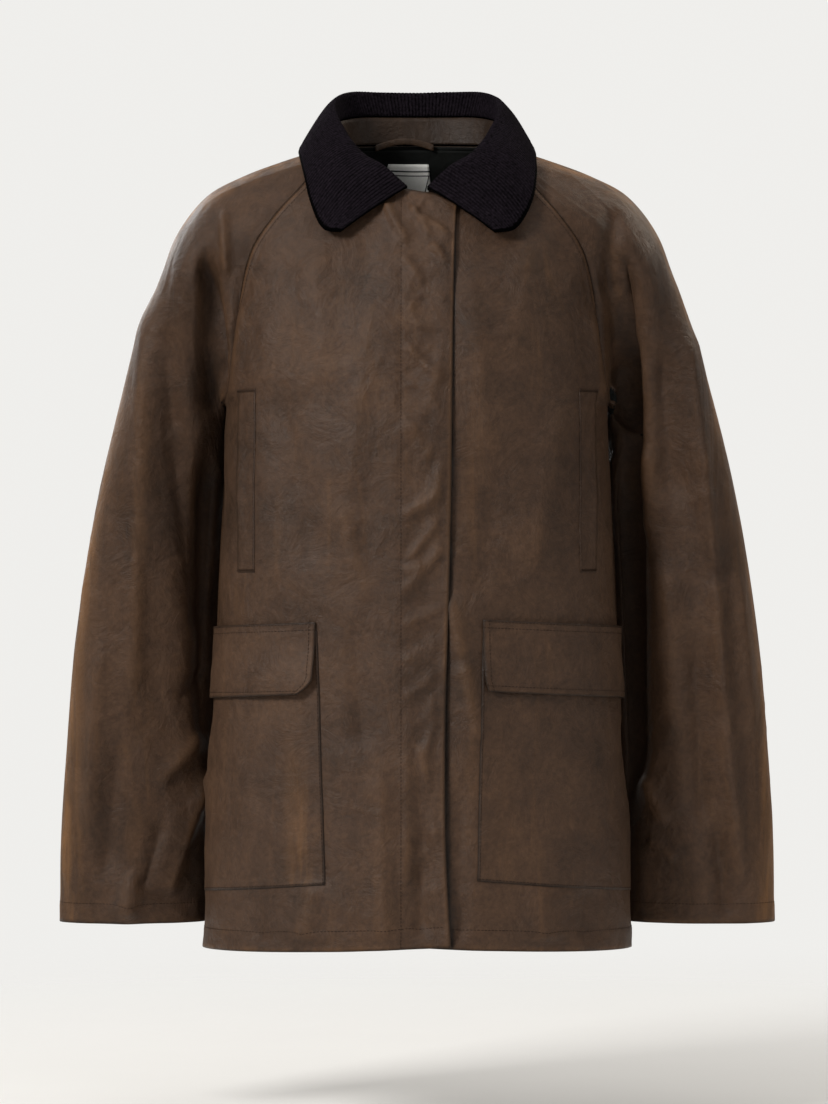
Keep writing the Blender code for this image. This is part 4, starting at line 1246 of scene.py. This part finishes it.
behind = neck[neck[:, 1] > 30]
behind = behind[np.argsort(behind[:, 0])]
t = np.linspace(0, 1, 41)
loop_x = LOOP_X[0] + (LOOP_X[1] - LOOP_X[0]) * t
loop_y = np.interp(loop_x, behind[:, 0], behind[:, 1]) - LOOP_OUT - 2.0 * np.sin(math.pi * t)
loop_z = np.interp(loop_x, behind[:, 0], behind[:, 2]) - 2.0 + LOOP_ARCH * np.sin(math.pi * t)
half_way = np.linspace(-0.5, 0.5, 7)
belly = 0.5 * (1 - (2 * half_way) ** 2)
loop_form = np.array([
    np.stack([loop_x, loop_y - bulge, loop_z + LOOP_WIDTH * up], axis=-1)
    for up, bulge in zip(half_way, belly)
])
# The loop gets painted shade from the darker copy.
cloth(
    "hanger_loop", loop_form, 1, THIN_CLOTH, FINISH["inside_band_painted_shade"], "waxed_cotton", FLAT["hanger_loop"],
    wear=0.3,
)

# Topstitching on the body and the sleeves.
front, left = panels["front_right"], panels["front_left"]
placket_rows = np.arange(front["base"].shape[0] - 4, dtype=float)
placket_columns = np.array([column_at(front["base"], RIGHT, row, -PLACKET_X) for row in placket_rows])
for name, panel in panels.items():
    hem = "last_row" if name.startswith("sleeve") else "first_row"
    runs = [run(panel, *inset(panel["grid"], hem, HEM), keep=np.s_[2:-2])]
    if not name.startswith("sleeve"):
        raglan_part = np.s_[-SEAM_STEPS:-2]
        seams = ["first_column", "last_column"] if name == "back" else ["last_column"]
        runs += [run(panel, *inset(panel["grid"], edge, 6.5), keep=np.s_[2:-2]) for edge in seams]
        runs += [run(panel, *inset(panel["grid"], edge, 1.6), keep=raglan_part) for edge in seams]
    if name == "front_right":
        runs.append(run(panel, placket_rows, placket_columns))
    stitches(f"stitches_{name}", runs, panel["piece"])

# The floor, a disc that fades into the pale surroundings.
turns = np.linspace(0, 2 * math.pi, 96, endpoint=False)
rim_points = [(FLOOR_RADIUS * math.cos(a), FLOOR_RADIUS * math.sin(a), 0) for a in turns]
floor_mesh = bpy.data.meshes.new("floor")
floor_mesh.from_pydata(rim_points, [], [list(range(96))])
floor_mesh.materials.append(ground())
floor = bpy.data.objects.new("floor", floor_mesh)
floor.location = (0, 0, FLOOR_Z)
bpy.context.scene.collection.objects.link(floor)


def softbox(name, place, target, size, power, colour):
    light = bpy.data.lights.new(name, "AREA")
    light.shape = "RECTANGLE"
    light.size, light.size_y = size
    light.energy = power
    light.color = colour
    lamp = bpy.data.objects.new(name, light)
    lamp.visible_camera = False
    lamp.location = place
    lamp.rotation_euler = (Vector(target) - Vector(place)).to_track_quat("-Z", "Y").to_euler()
    bpy.context.scene.collection.objects.link(lamp)


for name, place, target, size, power, colour in LIGHTS:
    softbox(name, place, target, size, power, colour)
world = bpy.data.worlds.new("studio")
world.use_nodes = True
camera_ray = node(world.node_tree, "LightPath").outputs["Is Camera Ray"]
seen = mixed(world.node_tree, camera_ray, (AMBIENT, AMBIENT, AMBIENT * 0.98, 1), (*SURROUNDINGS, 1))
world.node_tree.links.new(seen, world.node_tree.nodes["Background"].inputs["Color"])
bpy.context.scene.world = world
bpy.context.scene.view_settings.view_transform = "Standard"

lens = bpy.data.cameras.new("camera")
lens.sensor_fit = "HORIZONTAL"
lens.sensor_width = 36
lens.lens = 36 * CAMERA_DISTANCE / FRAME_WIDTH
lens.clip_end = 50
camera = bpy.data.objects.new("camera", lens)
camera.location = (CAMERA_X, -CAMERA_DISTANCE, CAMERA_Z)
camera.rotation_euler = (math.pi / 2, 0, 0)
bpy.context.scene.collection.objects.link(camera)
bpy.context.scene.camera = camera

bpy.context.view_layer.update()
